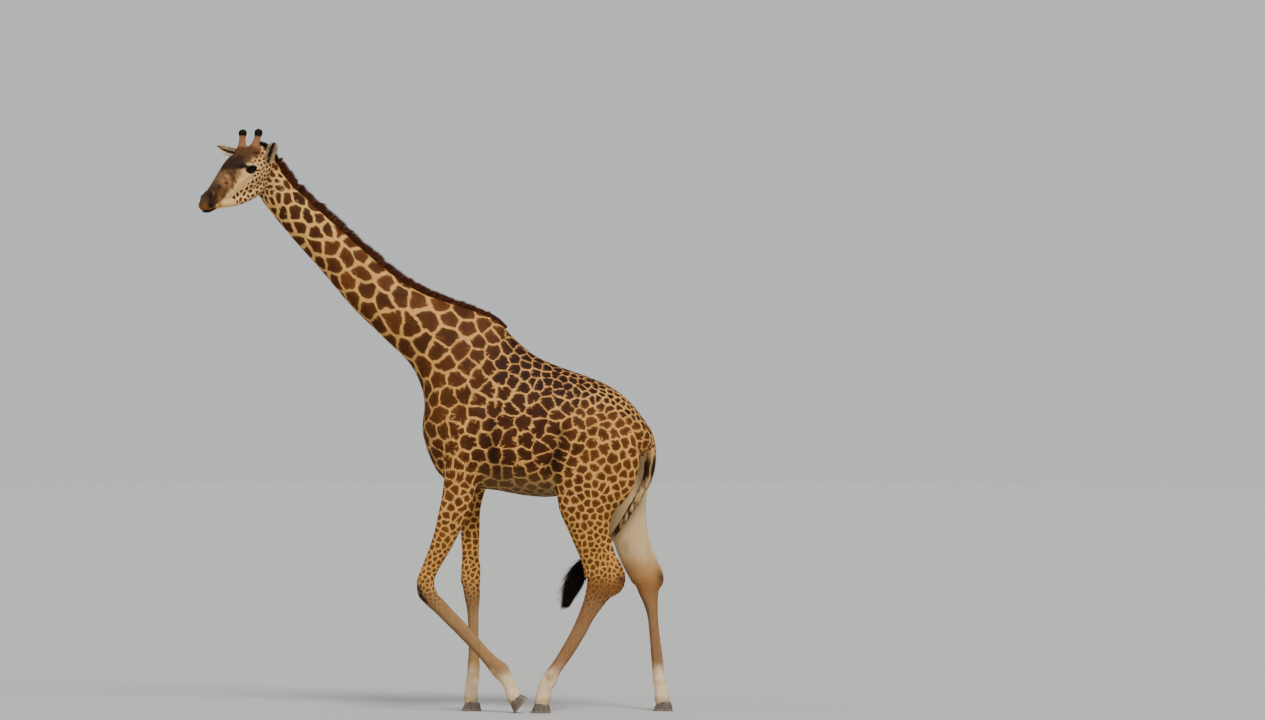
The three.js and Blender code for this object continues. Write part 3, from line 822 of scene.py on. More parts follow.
def spacing_of(at):
    """Distance between the middles of neighbouring patches."""
    neck = table(at.k, (0, 60), (0.08, 86), (0.2, 114), (0.32, 140), (0.44, 128), (0.54, 110), (0.64, 104),
                 (0.74, 92), (0.84, 74), (1, 62))
    size = neck * lerp(1, 0.62, at.back) * lerp(1, 0.85, at.belly)
    size = lerp(size, 74, at.haunch * step(2150, 1750, at.z))
    leg = table(at.z, (0, 22), (700, 24), (900, 30), (1100, 38), (1300, 48), (1500, 60), (1800, 76),
                (2200, 90))
    size = np.where(at.leg & (at.z < 1500), leg, size)
    size = np.where(at.leg & (at.z >= 1500), np.minimum(leg, 92), size)
    face = table(at.head[:, 0], (-60, 46), (80, 34), (200, 34), (330, 37), (450, 34))
    return np.where(at.face, face, np.where(at.tail, 30, size))


def gap_of(at):
    """Half the width of the pale lines between patches."""
    gap = table(at.k, (0, 6), (0.12, 8.5), (0.3, 9), (0.45, 7.6), (0.58, 6.4), (0.8, 5.4), (1, 4.6))
    gap = gap * lerp(1, 0.68, at.back) * lerp(1, 1.5, at.belly)
    gap = gap * (1 + 0.28 * noise(at.points, 120, 21))
    gap = lerp(gap, 5.8, at.haunch)
    leg = table(at.z, (800, 4.6), (1100, 4.8), (1500, 6), (1900, 7))
    gap = np.where(at.leg, leg, gap)
    return np.where(at.face, table(at.head[:, 0], (-60, 6), (100, 4.4), (250, 5), (450, 5)), gap)


def scatter(points, spacing, rng):
    """Picks points no closer together than the spacing there."""
    free = np.ones(len(points), bool)
    order, chosen = rng.permutation(len(points)), []
    for i in order:
        if free[i]:
            chosen.append(i)
            near = np.abs(points[:, 2] - points[i, 2]) < spacing[i]
            near[near] = ((points[near] - points[i]) ** 2).sum(1) < spacing[i] ** 2
            free[near] = False
    return np.array(chosen)


def nearest(seeds, points, count):
    """Numbers of the seeds nearest to each point, the nearest first."""
    tree = KDTree(len(seeds))
    for i, seed in enumerate(seeds.tolist()):
        tree.insert(seed, i)
    tree.balance()
    return np.array([[found[1] for found in tree.find_n(p, count)] for p in points.tolist()])


def drawn_out(points, k, torso):
    """Squeezes the length of the neck, so that patches laid out there come out longer along it."""
    along = np.array([-0.68, 0, 0.73])
    amount = 0.24 * step(0.5, 0.4, k) * torso
    return points - (amount * ((points - [-300, 0, 2500]) @ along))[:, None] * along


SAMPLED = 60000  # skin points that the patches may grow from
CRACKS = 6  # in each patch


def patch_seeds(at, spacing, rng):
    """Numbers of the skin points that the patches grow from, with the spacing between them."""
    sample = rng.permutation(len(at.points))[:SAMPLED]
    few = at.points[sample]
    seeds = few[scatter(few, spacing[sample] * 0.8, rng)]
    # Each moves to the middle of its cell, twice.
    for _ in range(2):
        owner = nearest(seeds, few, 1)[:, 0]
        total = np.maximum(np.bincount(owner, minlength=len(seeds)), 1)
        seeds = np.stack([np.bincount(owner, few[:, i], len(seeds)) / total for i in range(3)], 1)
    return sample[nearest(few, seeds, 1)[:, 0]]


def patches(at, rng):
    """Distance in millimetres from the edge of the nearest patch, above 0 inside it, and its number."""
    spacing = spacing_of(at)
    chosen = patch_seeds(at, spacing, rng)
    rough = np.clip(spacing / 90, 0.25, 1)[:, None]
    bend = [noise(at.points, 62, 3 + i) * 15 + noise(at.points, 25, 7 + i) * 7.5 for i in range(3)]
    warped = drawn_out(at.points + np.stack(bend, 1) * rough, at.k, at.torso)
    seeds = drawn_out(at.points[chosen], at.k[chosen], at.torso[chosen])
    near = nearest(seeds, warped, 7)
    number = near[:, 0]
    own = seeds[number]
    # The cells meet in rounded corners.
    sharp = 34.0 / np.clip(spacing, 20, 140)
    total = np.zeros(len(warped))
    reach = np.zeros(len(warped)) + 1e9
    for i in range(1, 7):
        other = seeds[near[:, i]]
        between = np.linalg.norm(other - own, axis=1)
        far = (((warped - other) ** 2).sum(1) - ((warped - own) ** 2).sum(1)) / np.maximum(2 * between, 1)
        total += np.exp(-np.clip(far * sharp, -5, 40))
        reach = np.minimum(reach, far)
    edge = np.minimum(-np.log(np.maximum(total, 1e-12)) / sharp, reach) - gap_of(at)
    return cracked(edge, at, spacing, warped - own, number, at.normals[chosen], rng), number, len(seeds)


def cracked(edge, at, spacing, arm, number, out, rng):
    """Cuts pale cracks inwards from the edges of the patches, where the photo's are jagged."""
    count = len(out)
    across = unit(np.cross(out, rng.normal(size=(count, 3))))
    along = np.cross(out, across)
    turns = np.sort(rng.random((count, CRACKS)), axis=1) * 2 * math.pi
    starts = rng.uniform(0.3, 0.95, (count, CRACKS))
    u, v = (arm * across[number]).sum(1), (arm * along[number]).sum(1)
    jagged = np.maximum(at.torso * lerp(0.28, 1, step(0.46, 0.58, at.k)), at.haunch)
    jagged = np.maximum(jagged, at.leg * step(900, 1200, at.z)) * (1 - at.back * 0.7)
    wide = np.clip(spacing / 90, 0.4, 1) * 3.6 * jagged
    for i in range(CRACKS):
        c, s = np.cos(turns[number, i]), np.sin(turns[number, i])
        ahead, aside = u * c + v * s, np.abs(v * c - u * s)
        inward = (ahead - starts[number, i] * spacing * 0.5) / (spacing * 0.2)
        cut = aside - wide * np.clip(inward, -1, 1.3)
        edge = np.where((ahead > 0) & (jagged > 0.05) & (inward > 0), np.minimum(edge, cut), edge)
    return edge


# Painted shade in the folds of the body, on both sides: from, to, width and how dark.
FOLD_SHADE = (
    ((-40, 285, 2050), (-50, 265, 1730), 34, 0.6),  # behind the elbow
    ((-50, 265, 1730), (10, 240, 1600), 40, 0.5),
    ((420, 300, 1900), (345, 285, 1600), 34, 0.65),  # before the thigh
    ((-330, 200, 1960), (-260, 180, 1720), 36, 0.35),
    ((845, 120, 1150), (900, 120, 960), 26, 0.4),  # above the hocks
    ((500, 150, 1140), (560, 130, 960), 26, 0.4),
    ((-140, 130, 1560), (-330, 120, 1300), 26, 0.2),
)
# Where the brown of the face ends below, as along and up.
BROWN_EDGE = ((60, 92), (200, 100), (250, 96), (320, 74), (375, 40), (410, 22), (450, 0), (500, -16),
              (560, -28), (620, -44), (700, -40))
# Patches of the face, on both sides: from, to, radius, colour, strength.
FACE_MARKS = (
    ((150, 88, 112), (90, 60, 120), 44, (100, 62, 34), 1.0),  # before and between the ossicones
    ((150, 0, 130), (60, 0, 130), 60, (96, 58, 33), 1.0),
    ((222, 96, 112), (205, 70, 130), 32, (78, 56, 26), 0.95),
    ((335, 0, 150), (262, 48, 142), 44, (44, 21, 11), 0.95),  # forehead
    ((360, 40, 118), (300, 70, 128), 26, (40, 19, 9), 0.9),
    ((480, 8, 100), (420, 20, 110), 30, (106, 78, 48), 1.0),  # bridge of the nose
    ((560, 0, 92), (500, 0, 100), 30, (92, 64, 40), 1.0),
    ((330, 82, 72), (352, 74, 60), 24, (138, 104, 66), 1.0),
    ((374, 60, 104), (350, 72, 84), 16, (96, 62, 32), 1.0),
    ((452, 52, 62), (440, 58, 50), 37, (146, 100, 62), 1.0),  # the blotch below the eye
    ((424, 46, 92), (400, 62, 80), 11, (168, 120, 72), 0.8),
    ((450, 55, 58), (445, 57, 54), 13, (78, 34, 8), 1.0),
    ((380, 66, 68), (384, 74, 30), 11, (82, 48, 18), 0.9),
    ((405, 70, 22), (425, 64, 6), 11, (104, 66, 32), 0.8),
    ((508, 42, 64), (516, 40, 58), 19, (44, 18, 5), 1.0),
    ((512, 52, 24), (500, 54, 12), 22, (110, 64, 28), 1.0),
    ((545, 50, 12), (560, 50, 2), 20, (112, 78, 40), 1.0),
    ((545, 24, 78), (620, 24, 56), 34, (56, 35, 20), 1.0),
    ((572, 46, 30), (612, 46, 12), 28, (60, 34, 17), 1.0),
    ((545, 46, -18), (560, 46, -36), 18, (144, 104, 56), 1.0),  # olive behind the lip
    ((575, 42, -46), (552, 44, -52), 12, (170, 120, 64), 1.0),
    ((640, 10, 52), (655, 20, 36), 20, (70, 50, 30), 1.0),  # above the lip
    ((626, 44, -20), (640, 40, 0), 25, (34, 14, 7), 1.0),  # dark of the upper lip
    ((684, 18, 6), (678, 26, -8), 19, (142, 88, 26), 1.0),  # front of the upper lip
    ((696, 0, 14), (696, 0, -10), 12, (112, 76, 38), 1.0),
    # A dark band from the brow to the eye: dark hair on the forehead, and painted shade where it runs down
    # before the eye.
    ((372, 0, 138), (331, 53, 126), 19, (38, 18, 8), 1.0),  # band from brow to eye
    ((331, 53, 126), (296, 86, 104), 20, (38, 18, 8), 1.0),
    ((296, 86, 104), (270, 106, 80), 20, (30, 14, 8), 1.0),
)


def markings(points, normals, labels):
    """The ground and mark colour and the edge distance of the markings at each skin point."""
    rng = np.random.default_rng(11)
    at = Places(points, normals, labels)
    edge, number, count = patches(at, rng)
    ground, mark = body_colours(at, edge, rng.normal(0, 0.13, count)[number])
    edge = np.where(at.tail & (at.k > 0.22), NO_MARK, edge)
    ground, mark, edge = face_colours(at, ground, mark, edge)
    edge = edge - 30 * np.where(at.leg, step(640, 420, at.z), 0)
    return ground, mark, edge, at


def ground_colour(at):
    """The colour between the patches, and of the plain parts of the legs."""
    points = at.points
    shin = at.leg * step(850, 700, at.z) * step(230, 380, at.z) * step(0.2, 0.9, np.cos(at.labels.angle))
    return paint(
        rgb(212, 158, 86),
        ((228, 176, 100), at.torso * step(0.3, 0.05, at.k)),
        ((204, 146, 80), at.back),
        ((212, 156, 84), at.haunch),
        # Painted shade: the belly is painted a dull olive-brown, darker than its own paler coat.
        ((150, 120, 78), at.belly),
        ((204, 150, 76), at.leg * step(1500, 1100, at.z)),
        # The lower legs are painted a darker, duller brown: their own tan darkened with painted shade.
        ((150, 114, 74), at.fore * step(950, 760, at.z)),
        ((142, 104, 68), at.hind * step(980, 800, at.z)),
        ((120, 72, 30), at.hind * around(at.z, 860, 70) * 0.7),
        ((224, 196, 156), at.leg * step(330, 190, at.z + 50 * noise(points, 50, 46))),  # socks
        ((160, 124, 86), at.leg * step(120, 70, at.z + 20 * noise(points, 20, 47)) * 0.6),
        ((112, 76, 46), shin * (0.45 + 0.4 * noise(points, 60, 45))),
        ((206, 176, 130), at.inner_thigh * step(860, 1120, at.z + 60 * noise(points, 90, 49))),
        ((150, 108, 64), at.inner_thigh * around(at.z, 930, 110) * 0.7),
    )


def mark_colour(at, ground, edge, tone):
    """The colour of the patches. Each has a tone of its own and is darker inside, and they fade down the
    legs."""
    mark = paint(
        rgb(98, 54, 18),
        ((80, 42, 15), at.torso * step(0.22, 0.06, at.k)),
        ((74, 36, 10), at.torso * step(0.48, 0.6, at.k)),
        ((46, 20, 7), at.back),
        ((100, 56, 16), at.haunch * (1 - at.back)),
        ((104, 60, 18), at.leg * step(1650, 1350, at.z)),
        ((108, 66, 26), at.leg * step(1050, 820, at.z)),
    )
    mark = mark * np.clip(1.06 + tone - 0.34 * step(2, 24, edge), 0.5, 1.5)[:, None]
    fade = at.leg * step(860, 600, at.z) * (1 - 0.16 * at.hind) + at.inner_thigh + at.belly * 0.35
    return blend(mark, ground, 0.97 * np.clip(fade, 0, 1))


def body_colours(at, edge, tone):
    """Ground and mark colours of the whole skin, before the face's are laid over them."""
    points, angle = at.points, at.labels.angle
    ground = ground_colour(at)
    mark = mark_colour(at, ground, edge, tone)
    # Painted shade: the coat is painted darker in the folds of the body.
    fold = np.zeros(len(points))
    for a, b, width, depth in FOLD_SHADE:
        gap = from_segment(folded(points), a, b) + 10 * noise(points, 50, 48)
        fold = np.maximum(fold, depth * around(gap, 0, width))
    fold = (1 - fold * ~at.face * ~at.tail)[:, None]
    # The lifted knee is dark in front, and the hocks are darker behind.
    knee = at.fore * step(900, 830, at.z) * step(730, 765, at.z)
    knee = knee * (step(0.2, 0.85, np.cos(angle)) * (at.labels.part == NAMES.index("fore_left")))
    knee = knee * step(-0.3, 0.3, noise(points, 30, 41) + 0.45)
    hock = at.hind * around(at.z, 905, 48) * step(0.35, 0.9, -np.cos(angle))
    dark_knee_and_hocks = ((30, 13, 6), knee * 0.95), ((58, 30, 12), hock * 0.8)
    ground, mark = paint(ground * fold, *dark_knee_and_hocks), paint(mark * fold, *dark_knee_and_hocks)
    # The dock of the tail is streaked.
    streak = step(-0.45, 0.2, noise(points * [1, 1, 0.1], 8, 43))
    dark = at.tail * streak * step(0.12, 0.3, at.k)
    pale = at.tail * (1 - streak) * step(0.1, 0.3, at.k)
    return paint(ground, ((52, 32, 18), dark), ((204, 172, 124), pale)), mark


def around_eyes(p, rough):
    """Where the skin is dark round the eyes and behind them, where it is pale above, and the distance
    from the eye as a share of the dark skin's size."""
    out, ahead, up = eye_axes()
    d = p - EYE
    x, y = d @ ahead, d @ up
    reach = np.hypot(x / 46, (y + 1) / np.where(y > 0, 25, 32))
    socket = step(1.12, 0.92, reach + 0.05 * rough) * (d @ out > -25)
    streak = step(6, 3.5, from_segment(p, (222, 112, 26), (176, 117, -6)) + 2 * rough)
    brow = step(10, 5, from_segment(p, (258, 108, 92), (240, 113, 84)) * 1.3 + 3 * rough)
    behind = step(9.5, 5, from_segment(p, (240, 113, 84), (178, 117, 18)) + 3 * rough)
    return np.maximum(socket, streak), np.maximum(brow, behind), reach


def muzzle_coats(p, face, rough):
    """Coats of paint for the nostrils and the lips, with painted shade in the nostril slits and along the
    line between the lips.
    """
    t, q = p[:, 0], p[:, 2] - mouth_line(p[:, 0])
    slit, rim = from_path(p, NOSTRIL), from_path(p, NOSTRIL_RIM)
    lip = face * step(585, 620, t)
    return (
        ((44, 20, 8), face * step(22, 12, slit + 3 * rough)),
        ((104, 70, 48), face * step(4.2, 0.5, rim + 1.8 * rough) * 0.9),
        # Painted shade: the nostril's slit is painted near black for the shade inside the opening.
        ((10, 5, 4), face * step(7.5, 5, slit)),
        ((134, 78, 34), lip * around(q, 6, 5)),
        ((48, 25, 15), lip * step(1, -2, q)),
        # Painted shade: a near-black line in the crease between the lips.
        ((16, 8, 6), face * around(q, 0, 3.0) * step(572, 598, t)),
    )


def ossicone_colours(at, ground, rough):
    """Brown shafts and black ends, and how far each point is on one."""
    on = np.zeros(len(rough))
    for side in (1, -1):
        base, lean = ossicone_axis(side)
        height = (at.head - base) @ lean
        off = np.linalg.norm(at.head - base - height[:, None] * lean, axis=1)
        horn = (off < 56) * step(-6, 26, height)
        black = horn * at.face * step(76, 90, height + 5 * rough)
        ground = paint(ground, ((146, 98, 66), horn * at.face), ((20, 13, 10), black))
        on = np.maximum(on, horn)
    return ground, on


def face_colours(at, ground, mark, edge):
    """Cream below and brown above, then patches of its own, the eyes, the muzzle and the ossicones."""
    face, points, p = at.face, at.points, folded(at.head)
    t, _, s = at.head.T
    rough = noise(points, 26, 51) + 0.5 * noise(points, 11, 52)
    fore_face = face * step(-30, 90, t + 20 * rough)
    over = s - np.interp(t, *zip(*BROWN_EDGE)) + 15 * rough + 10 * noise(points, 60, 54)
    top = face * step(-17, 17, over) * step(78, 122, t + 14 * rough)
    mark = paint(mark, ((92, 52, 18), fore_face))
    ground = paint(ground, ((234, 188, 124), fore_face), ((84, 54, 29), top))
    for a, b, radius, colour, strength in FACE_MARKS:
        far = np.abs(from_segment(p, a, b) + (4 + 0.22 * radius) * rough) / radius
        ground = paint(ground, (colour, face * np.exp(-(far**2.6)) * strength))
    mottled = step(0.1, 0.8, noise(points, 15, 55)) * np.maximum(top, face * step(520, 600, t))
    dark, pale, reach = around_eyes(p, rough)
    ground = paint(
        ground,
        ((40, 20, 9), mottled * 0.5),
        ((240, 206, 160), face * pale),
        ((17, 9, 6), face * dark),
        *muzzle_coats(p, face, rough),
    )
    ground, horn = ossicone_colours(at, ground, rough)
    edge = np.where(horn > 0.3, NO_MARK, edge)
    # Small ovals on the cheeks only, none on the muzzle, the forehead or the lids.
    ahead_of_eye = step(-12, 12, t - lerp(262, 450, step(-22, -56, s)) + 16 * noise(points, 40, 53))
    bare = face * np.max([ahead_of_eye, top, dark, pale, step(1.5, 1.3, reach)], axis=0)
    return ground, mark, np.where(face, edge - 1.0 - 16 * bare, edge)


def grain_of(at):
    """Coordinates for the fine hair, in metres: across, outwards and, drawn out, along the lie."""
    along = np.where(at.face[:, None], -AIM, 0.0)
    along = np.where((at.torso & (at.k < 0.5))[:, None], [0.68, 0, -0.73], along)
    along = np.where((at.torso & (at.k >= 0.5))[:, None], [0.97, 0, -0.24], along)
    along = np.where((at.leg | at.tail)[:, None], [0, 0, -1.0], along)
    along = unit(along + 1e-6)
    across = unit(np.cross(along, [0, 1.0, 0]) + 1e-6)
    third = np.cross(along, across)
    p = at.points / 1000
    return np.stack([(p * across).sum(1), (p * third).sum(1), (p * along).sum(1) * 0.14], 1)


# ---- Materials ----------------------------------------------------------------------------------

class Nodes:
    """Builds one material from nodes, each made by its type with its settings and inputs."""

    def __init__(self, name):
        self.material = bpy.data.materials.new(name)
        self.material.use_nodes = True
        self.tree = self.material.node_tree
        self.tree.nodes.clear()

    def add(self, kind, inputs=(), **settings):
        node = self.tree.nodes.new("ShaderNode" + kind)
        for key, value in settings.items():
            setattr(node, key, value)
        for key, value in dict(inputs).items():
            if isinstance(value, bpy.types.NodeSocket):
                self.tree.links.new(value, node.inputs[key])
            else:
                node.inputs[key].default_value = value
        return node

    def attribute(self, name, kind="Vector"):
        return self.add("Attribute", attribute_name=name).outputs[kind]

    def place(self):
        return self.add("TexCoord").outputs["Object"]

    def parts(self, vector):
        return self.add("SeparateXYZ", {0: vector}).outputs

    def noise(self, vector, scale, detail=2.0, rough=0.55):
        inputs = {"Vector": vector, "Scale": scale, "Detail": detail, "Roughness": rough}
        return self.add("TexNoise", inputs).outputs["Fac"]

    def math(self, operation, *values):
        return self.add("Math", enumerate(values), operation=operation).outputs[0]

    def remap(self, value, low, high, to_low=0.0, to_high=1.0, kind="SMOOTHSTEP"):
        inputs = {"Value": value, "From Min": low, "From Max": high, "To Min": to_low, "To Max": to_high}
        return self.add("MapRange", inputs, interpolation_type=kind).outputs["Result"]

    def spread(self, noise, to_low, to_high, low=0.3, high=0.7):
        """The usual span of a noise drawn out evenly over another."""
        return self.remap(noise, low, high, to_low, to_high, "LINEAR")

    def mix(self, factor, a, b, way="MIX"):
        return self.add("Mix", {0: factor, 6: a, 7: b}, data_type="RGBA", blend_type=way).outputs[2]

    def shaded(self, colour, shade):
        grey = self.add("CombineXYZ", {0: shade, 1: shade, 2: shade}).outputs[0]
        return self.mix(1.0, colour, grey, "MULTIPLY")

    def bump(self, height, distance, strength=1.0, normal=None):
        inputs = {"Height": height, "Distance": distance, "Strength": strength}
        if normal is not None:
            inputs["Normal"] = normal
        return self.add("Bump", inputs).outputs["Normal"]

    def surface(self, colour, roughness, normal, **constant):
        inputs = {"Base Color": colour, "Roughness": roughness, "Normal": normal}
        inputs.update((key.replace("_", " "), value) for key, value in constant.items())
        shader = self.add("BsdfPrincipled", inputs)
        self.add("OutputMaterial", {0: shader.outputs[0]})
        return self.material


def coat_material():
    """Ground and mark colours with a ragged edge between them, and fine hair, on skin, tufts and ears."""
    n = Nodes("coat")
    grain = n.attribute("grain")
    edge, raggedness = n.parts(n.attribute("field"))[:2]
    ragged = n.math("MULTIPLY", n.math("SUBTRACT", n.noise(grain, 110, 3), 0.5), raggedness)
    inside = n.remap(n.math("ADD", edge, ragged), -1.6, 1.6)
    hairs = n.noise(grain, 900, 3, 0.65)
    hair_shade = n.spread(hairs, 0.78, 1.2, 0.25, 0.75)
    shade = n.math("MULTIPLY", hair_shade, n.spread(n.noise(grain, 26, 3), 0.9, 1.1))
    colour = n.shaded(n.mix(inside, n.attribute("ground", "Color"), n.attribute("mark", "Color")), shade)
    normal = n.bump(hairs, 0.0011, 0.75, n.bump(n.noise(grain, 70, 2), 0.002, 0.35))
    return n.surface(colour, n.spread(n.noise(grain, 300, 2), 0.52, 0.74), normal, Specular_IOR_Level=0.13)


def hair_material(name, rough_low, rough_high):
    """Long hair, in the colour of its ground layer."""
    n = Nodes(name)
    grain = n.attribute("grain")
    hairs = n.noise(grain, 500, 3, 0.6)
    colour = n.shaded(n.attribute("ground", "Color"), n.spread(hairs, 0.6, 1.35, 0.25, 0.75))
    rough = n.spread(n.noise(grain, 500 / 3, 2), rough_low, rough_high)
    return n.surface(colour, rough, n.bump(hairs, 0.0012, 0.8), Specular_IOR_Level=0.18)


def hoof_material():
    """Grey-brown horn, streaked down its height, with growth rings and a pale worn edge at the ground."""
    n = Nodes("hoof")
    place = n.place()
    height = n.parts(n.attribute("grain"))[2]
    wavy = n.math("MULTIPLY", n.noise(place, 24, 2), 9.0)
    rings = n.math("SINE", n.math("ADD", n.math("MULTIPLY", height, 420.0), wavy))
    streaks = n.noise(n.add("Mapping", {"Vector": place, "Scale": (1, 1, 0.18)}).outputs[0], 120, 4)
    worn = n.math("MULTIPLY", n.remap(height, 0.0, 0.022, 0.75, 0.0), n.noise(place, 60, 3))
    colour = n.mix(n.remap(streaks, 0.3, 0.7), (0.060, 0.042, 0.030, 1), (0.150, 0.112, 0.078, 1))
    colour = n.mix(worn, colour, (0.30, 0.25, 0.19, 1))
    normal = n.bump(streaks, 0.0008, 0.4, n.bump(rings, 0.0008, 0.25))
    return n.surface(colour, n.spread(n.noise(place, 90, 3), 0.34, 0.62), normal, Specular_IOR_Level=0.45)


PUPIL = (0.0095, 0.0062)  # half length and half height, in metres
IRIS = 0.020


def eye_material():
    """A dark brown iris, with a level oval pupil and an even darker rim."""
    n = Nodes("eye")
    grain = n.attribute("grain")
    x, y = n.parts(grain)[:2]

    def reach(long, tall):
        a, b = n.math("DIVIDE", x, long), n.math("DIVIDE", y, tall)
        return n.math("SQRT", n.math("ADD", n.math("MULTIPLY", a, a), n.math("MULTIPLY", b, b)))

    fibres = n.noise(grain, 700, 3)
    iris = n.mix(fibres, (0.010, 0.004, 0.002, 1), (0.030, 0.012, 0.005, 1))
    colour = n.mix(n.remap(reach(IRIS, IRIS), 0.925, 1.075), iris, (0.012, 0.007, 0.005, 1))
    colour = n.mix(n.remap(reach(*PUPIL), 0.9, 1.1), (0.002, 0.002, 0.003, 1), colour)
    return n.surface(colour, n.spread(n.noise(grain, 200, 2), 0.04, 0.09), n.bump(fibres, 0.0001, 0.15),
                     Coat_Weight=0.04, Coat_Roughness=0.03, Specular_IOR_Level=0.05)


def lid_material():
    """Dark, damp skin with fine pores."""
    n = Nodes("lid")
    pores = n.noise(n.place(), 800, 3)
    colour = n.mix(pores, (0.010, 0.006, 0.005, 1), (0.034, 0.020, 0.016, 1))
    return n.surface(colour, n.spread(pores, 0.22, 0.42), n.bump(pores, 0.0004, 0.5), Specular_IOR_Level=0.5)


# ---- Tufts and locks ----------------------------------------------------------------------------

TUFT_PATCH = 0.0030  # size of a tuft's patch on the unwrap
UPRIGHT_TAPER = (1, 1, 0.8, 0.5, 0)  # width of an upright strand at its stations


def strands(name, spine, side, width, uv, layers, shade=None):
    """Tapering three-sided tufts. spine is (tufts, stations, 3), side their cross direction, width
    (tufts, stations). Each has its own small patch on the unwrap at uv. With shade, they take the
    light as the skin under them does."""
    count, stations = spine.shape[:2]
    flow = unit(np.gradient(spine, axis=1))
    side = unit(side[:, None] - flow * (side[:, None] * flow).sum(-1, keepdims=True))
    over = np.cross(flow, side)
    edges = [spine + width[..., None] * (math.cos(a) * side + 0.45 * math.sin(a) * over)
             for a in 2 * math.pi * np.arange(3) / 3 + math.pi / 2]
    points = np.stack(edges, 2)[:, : stations - 1].reshape(count, -1, 3)
    points = np.concatenate([points, spine[:, -1:]], axis=1)
    per = points.shape[1]
    faces, last = [], per - 4
    for i in range(stations - 2):
        for j in range(3):
            a, b = i * 3 + j, i * 3 + (j + 1) % 3
            faces += [[a, b, b + 3], [a, b + 3, a + 3]]
    faces += [[last + j, last + (j + 1) % 3, per - 1] for j in range(3)] + [[2, 1, 0]]
    faces = (np.array(faces)[None] + per * np.arange(count)[:, None, None]).reshape(-1, 3)
    patch = [[(j + 0.5) / 3 - 0.5, i / (stations - 1) - 0.5] for i in range(stations - 1) for j in range(3)]
    uv = (uv[:, None] + TUFT_PATCH * np.array(patch + [[0, 0.5]])[None]).reshape(-1, 2)
    layers = {key: np.repeat(value, per, axis=0) for key, value in layers.items()}
    obj = build(name, points.reshape(-1, 3), faces, layers, np.clip(uv, 0.0005, 0.9995))
    if shade is not None:
        obj.data.normals_split_custom_set_from_vertices(np.repeat(shade, per, axis=0).tolist())
    return obj


def pick(skin, where, count, rng):
    """Random places on the skin, spread evenly over where: their corners, and a reader of values there."""
    points, triangles = skin["points"], skin["triangles"]
    a, b, c = (points[triangles[:, i]] for i in range(3))
    weight = np.linalg.norm(np.cross(b - a, c - a), axis=1) * where[triangles].mean(1)
    chosen = rng.choice(len(triangles), count, p=weight / weight.sum())
    u, v = rng.random((2, count, 1))
    flip = (u + v) > 1
    u, v = np.where(flip, 1 - u, u), np.where(flip, 1 - v, v)
    share = np.concatenate([1 - u - v, u, v], axis=1)[..., None]
    corners = triangles[chosen]
    return corners, lambda values: (values[corners] * share).sum(1)


def short_coat(skin, rng):
    """Short tufts that lie along the body. They stand out a little more where the photo's do."""
    at = skin["at"]
    crowd = 1.0
    low = at.z <= 1560
    groups = {  # where, how many tufts, and their length
        "coat_neck": (at.torso & (at.k < 0.5), 42000, 16),
        "coat_trunk": (at.torso & (at.k >= 0.5) | at.leg & ~low, 47000, 18),
        "coat_legs": (at.leg & low & (at.z > 76), 45000, 12),
        "coat_tail": (at.tail, 9000, 26),
        "coat_head": (at.face, 47000, 8.5),
    }
    for name, (where, count, length) in groups.items():
        yield coat_piece(name, skin, where.astype(float), int(count * crowd), length, rng)


def coat_piece(name, skin, where, count, length, rng):
    """One piece of the coat. Its tufts are longer over the hooves and shorter towards the muzzle."""
    at = skin["at"]
    corners, mixed = pick(skin, where, count, rng)
    root, normal = mixed(skin["points"]), unit(mixed(skin["normals"]))
    flow = mixed(skin["lie"])
    flow = unit(flow - normal * (flow * normal).sum(1, keepdims=True))
    side = np.cross(normal, flow)
    flow = unit(flow + side * rng.normal(0, 0.13, (count, 1)))
    size = length * rng.uniform(0.7, 1.3, (count, 1))
    if name == "coat_legs":
        size = size * lerp(1, 1.7, step(150, 95, mixed(at.z[:, None])))
    if name == "coat_head":
        size = size * lerp(1.25, 0.55, step(150, 420, mixed(at.head)[:, 0:1]))
    lift = rng.uniform(0.08, 0.17, (count, 1))
    base = root - normal * 0.5 - flow * size * 0.1
    tip = root + flow * size * 0.95 + normal * size * lift
    width = np.concatenate([size * 0.075 + 0.2, size * 0], axis=1)
    first = corners[:, 0]
    along = mixed(at.labels.along[:, None])[:, 0]
    uv = unwrap(along, at.labels.angle[first], at.labels.part[first], name)
    layers = {key: mixed(values) for key, values in skin["layers"].items()}
    shade = unit(normal + side * rng.normal(0, 0.12, (count, 1)) - flow * 0.1)
    return strands(name, np.stack([base, tip], 1), side, width, uv, layers, shade=shade)


def unwrap(along, angle, part, name):
    """The place of a root on the unwrap of its part: round it, and along it."""
    u, v = (angle / (2 * math.pi)) % 1, along
    if name in ("coat_legs", "coat_trunk"):
        order = {NAMES.index(leg): i for i, leg in enumerate(LEGS)}
        column = np.array([order.get(i, 4) for i in range(len(NAMES))])[part]
        u = (column + 0.02 + 0.96 * u) / 5
    if name == "coat_head":
        u = (part % 4 + 0.02 + 0.96 * u) / 4
        v = ((part // 4) % 3 + 0.02 + 0.96 * v) / 3
    return np.stack([0.004 + 0.992 * u, 0.004 + 0.992 * v], 1)


def curved(root, out, droop, length, stations, rng, wave=0.0):
    """Spines that leave along out and bend towards droop."""
    k = np.linspace(0, 1, stations)[None, :, None]
    sway = rng.normal(0, 1, (len(root), 1, 3)) * wave
    out, droop = np.broadcast_to(out, root.shape), np.broadcast_to(droop, root.shape)
    path = out[:, None] * k + droop[:, None] * k**2 + sway * k**1.5
    return root[:, None] + path * length[:, None, None]


def tone_layer(base, spread, count, rng):
    """A colour for each tuft, around the base."""
    return np.clip(base * np.exp(rng.normal(0, spread, (count, 1))), 0, 1)


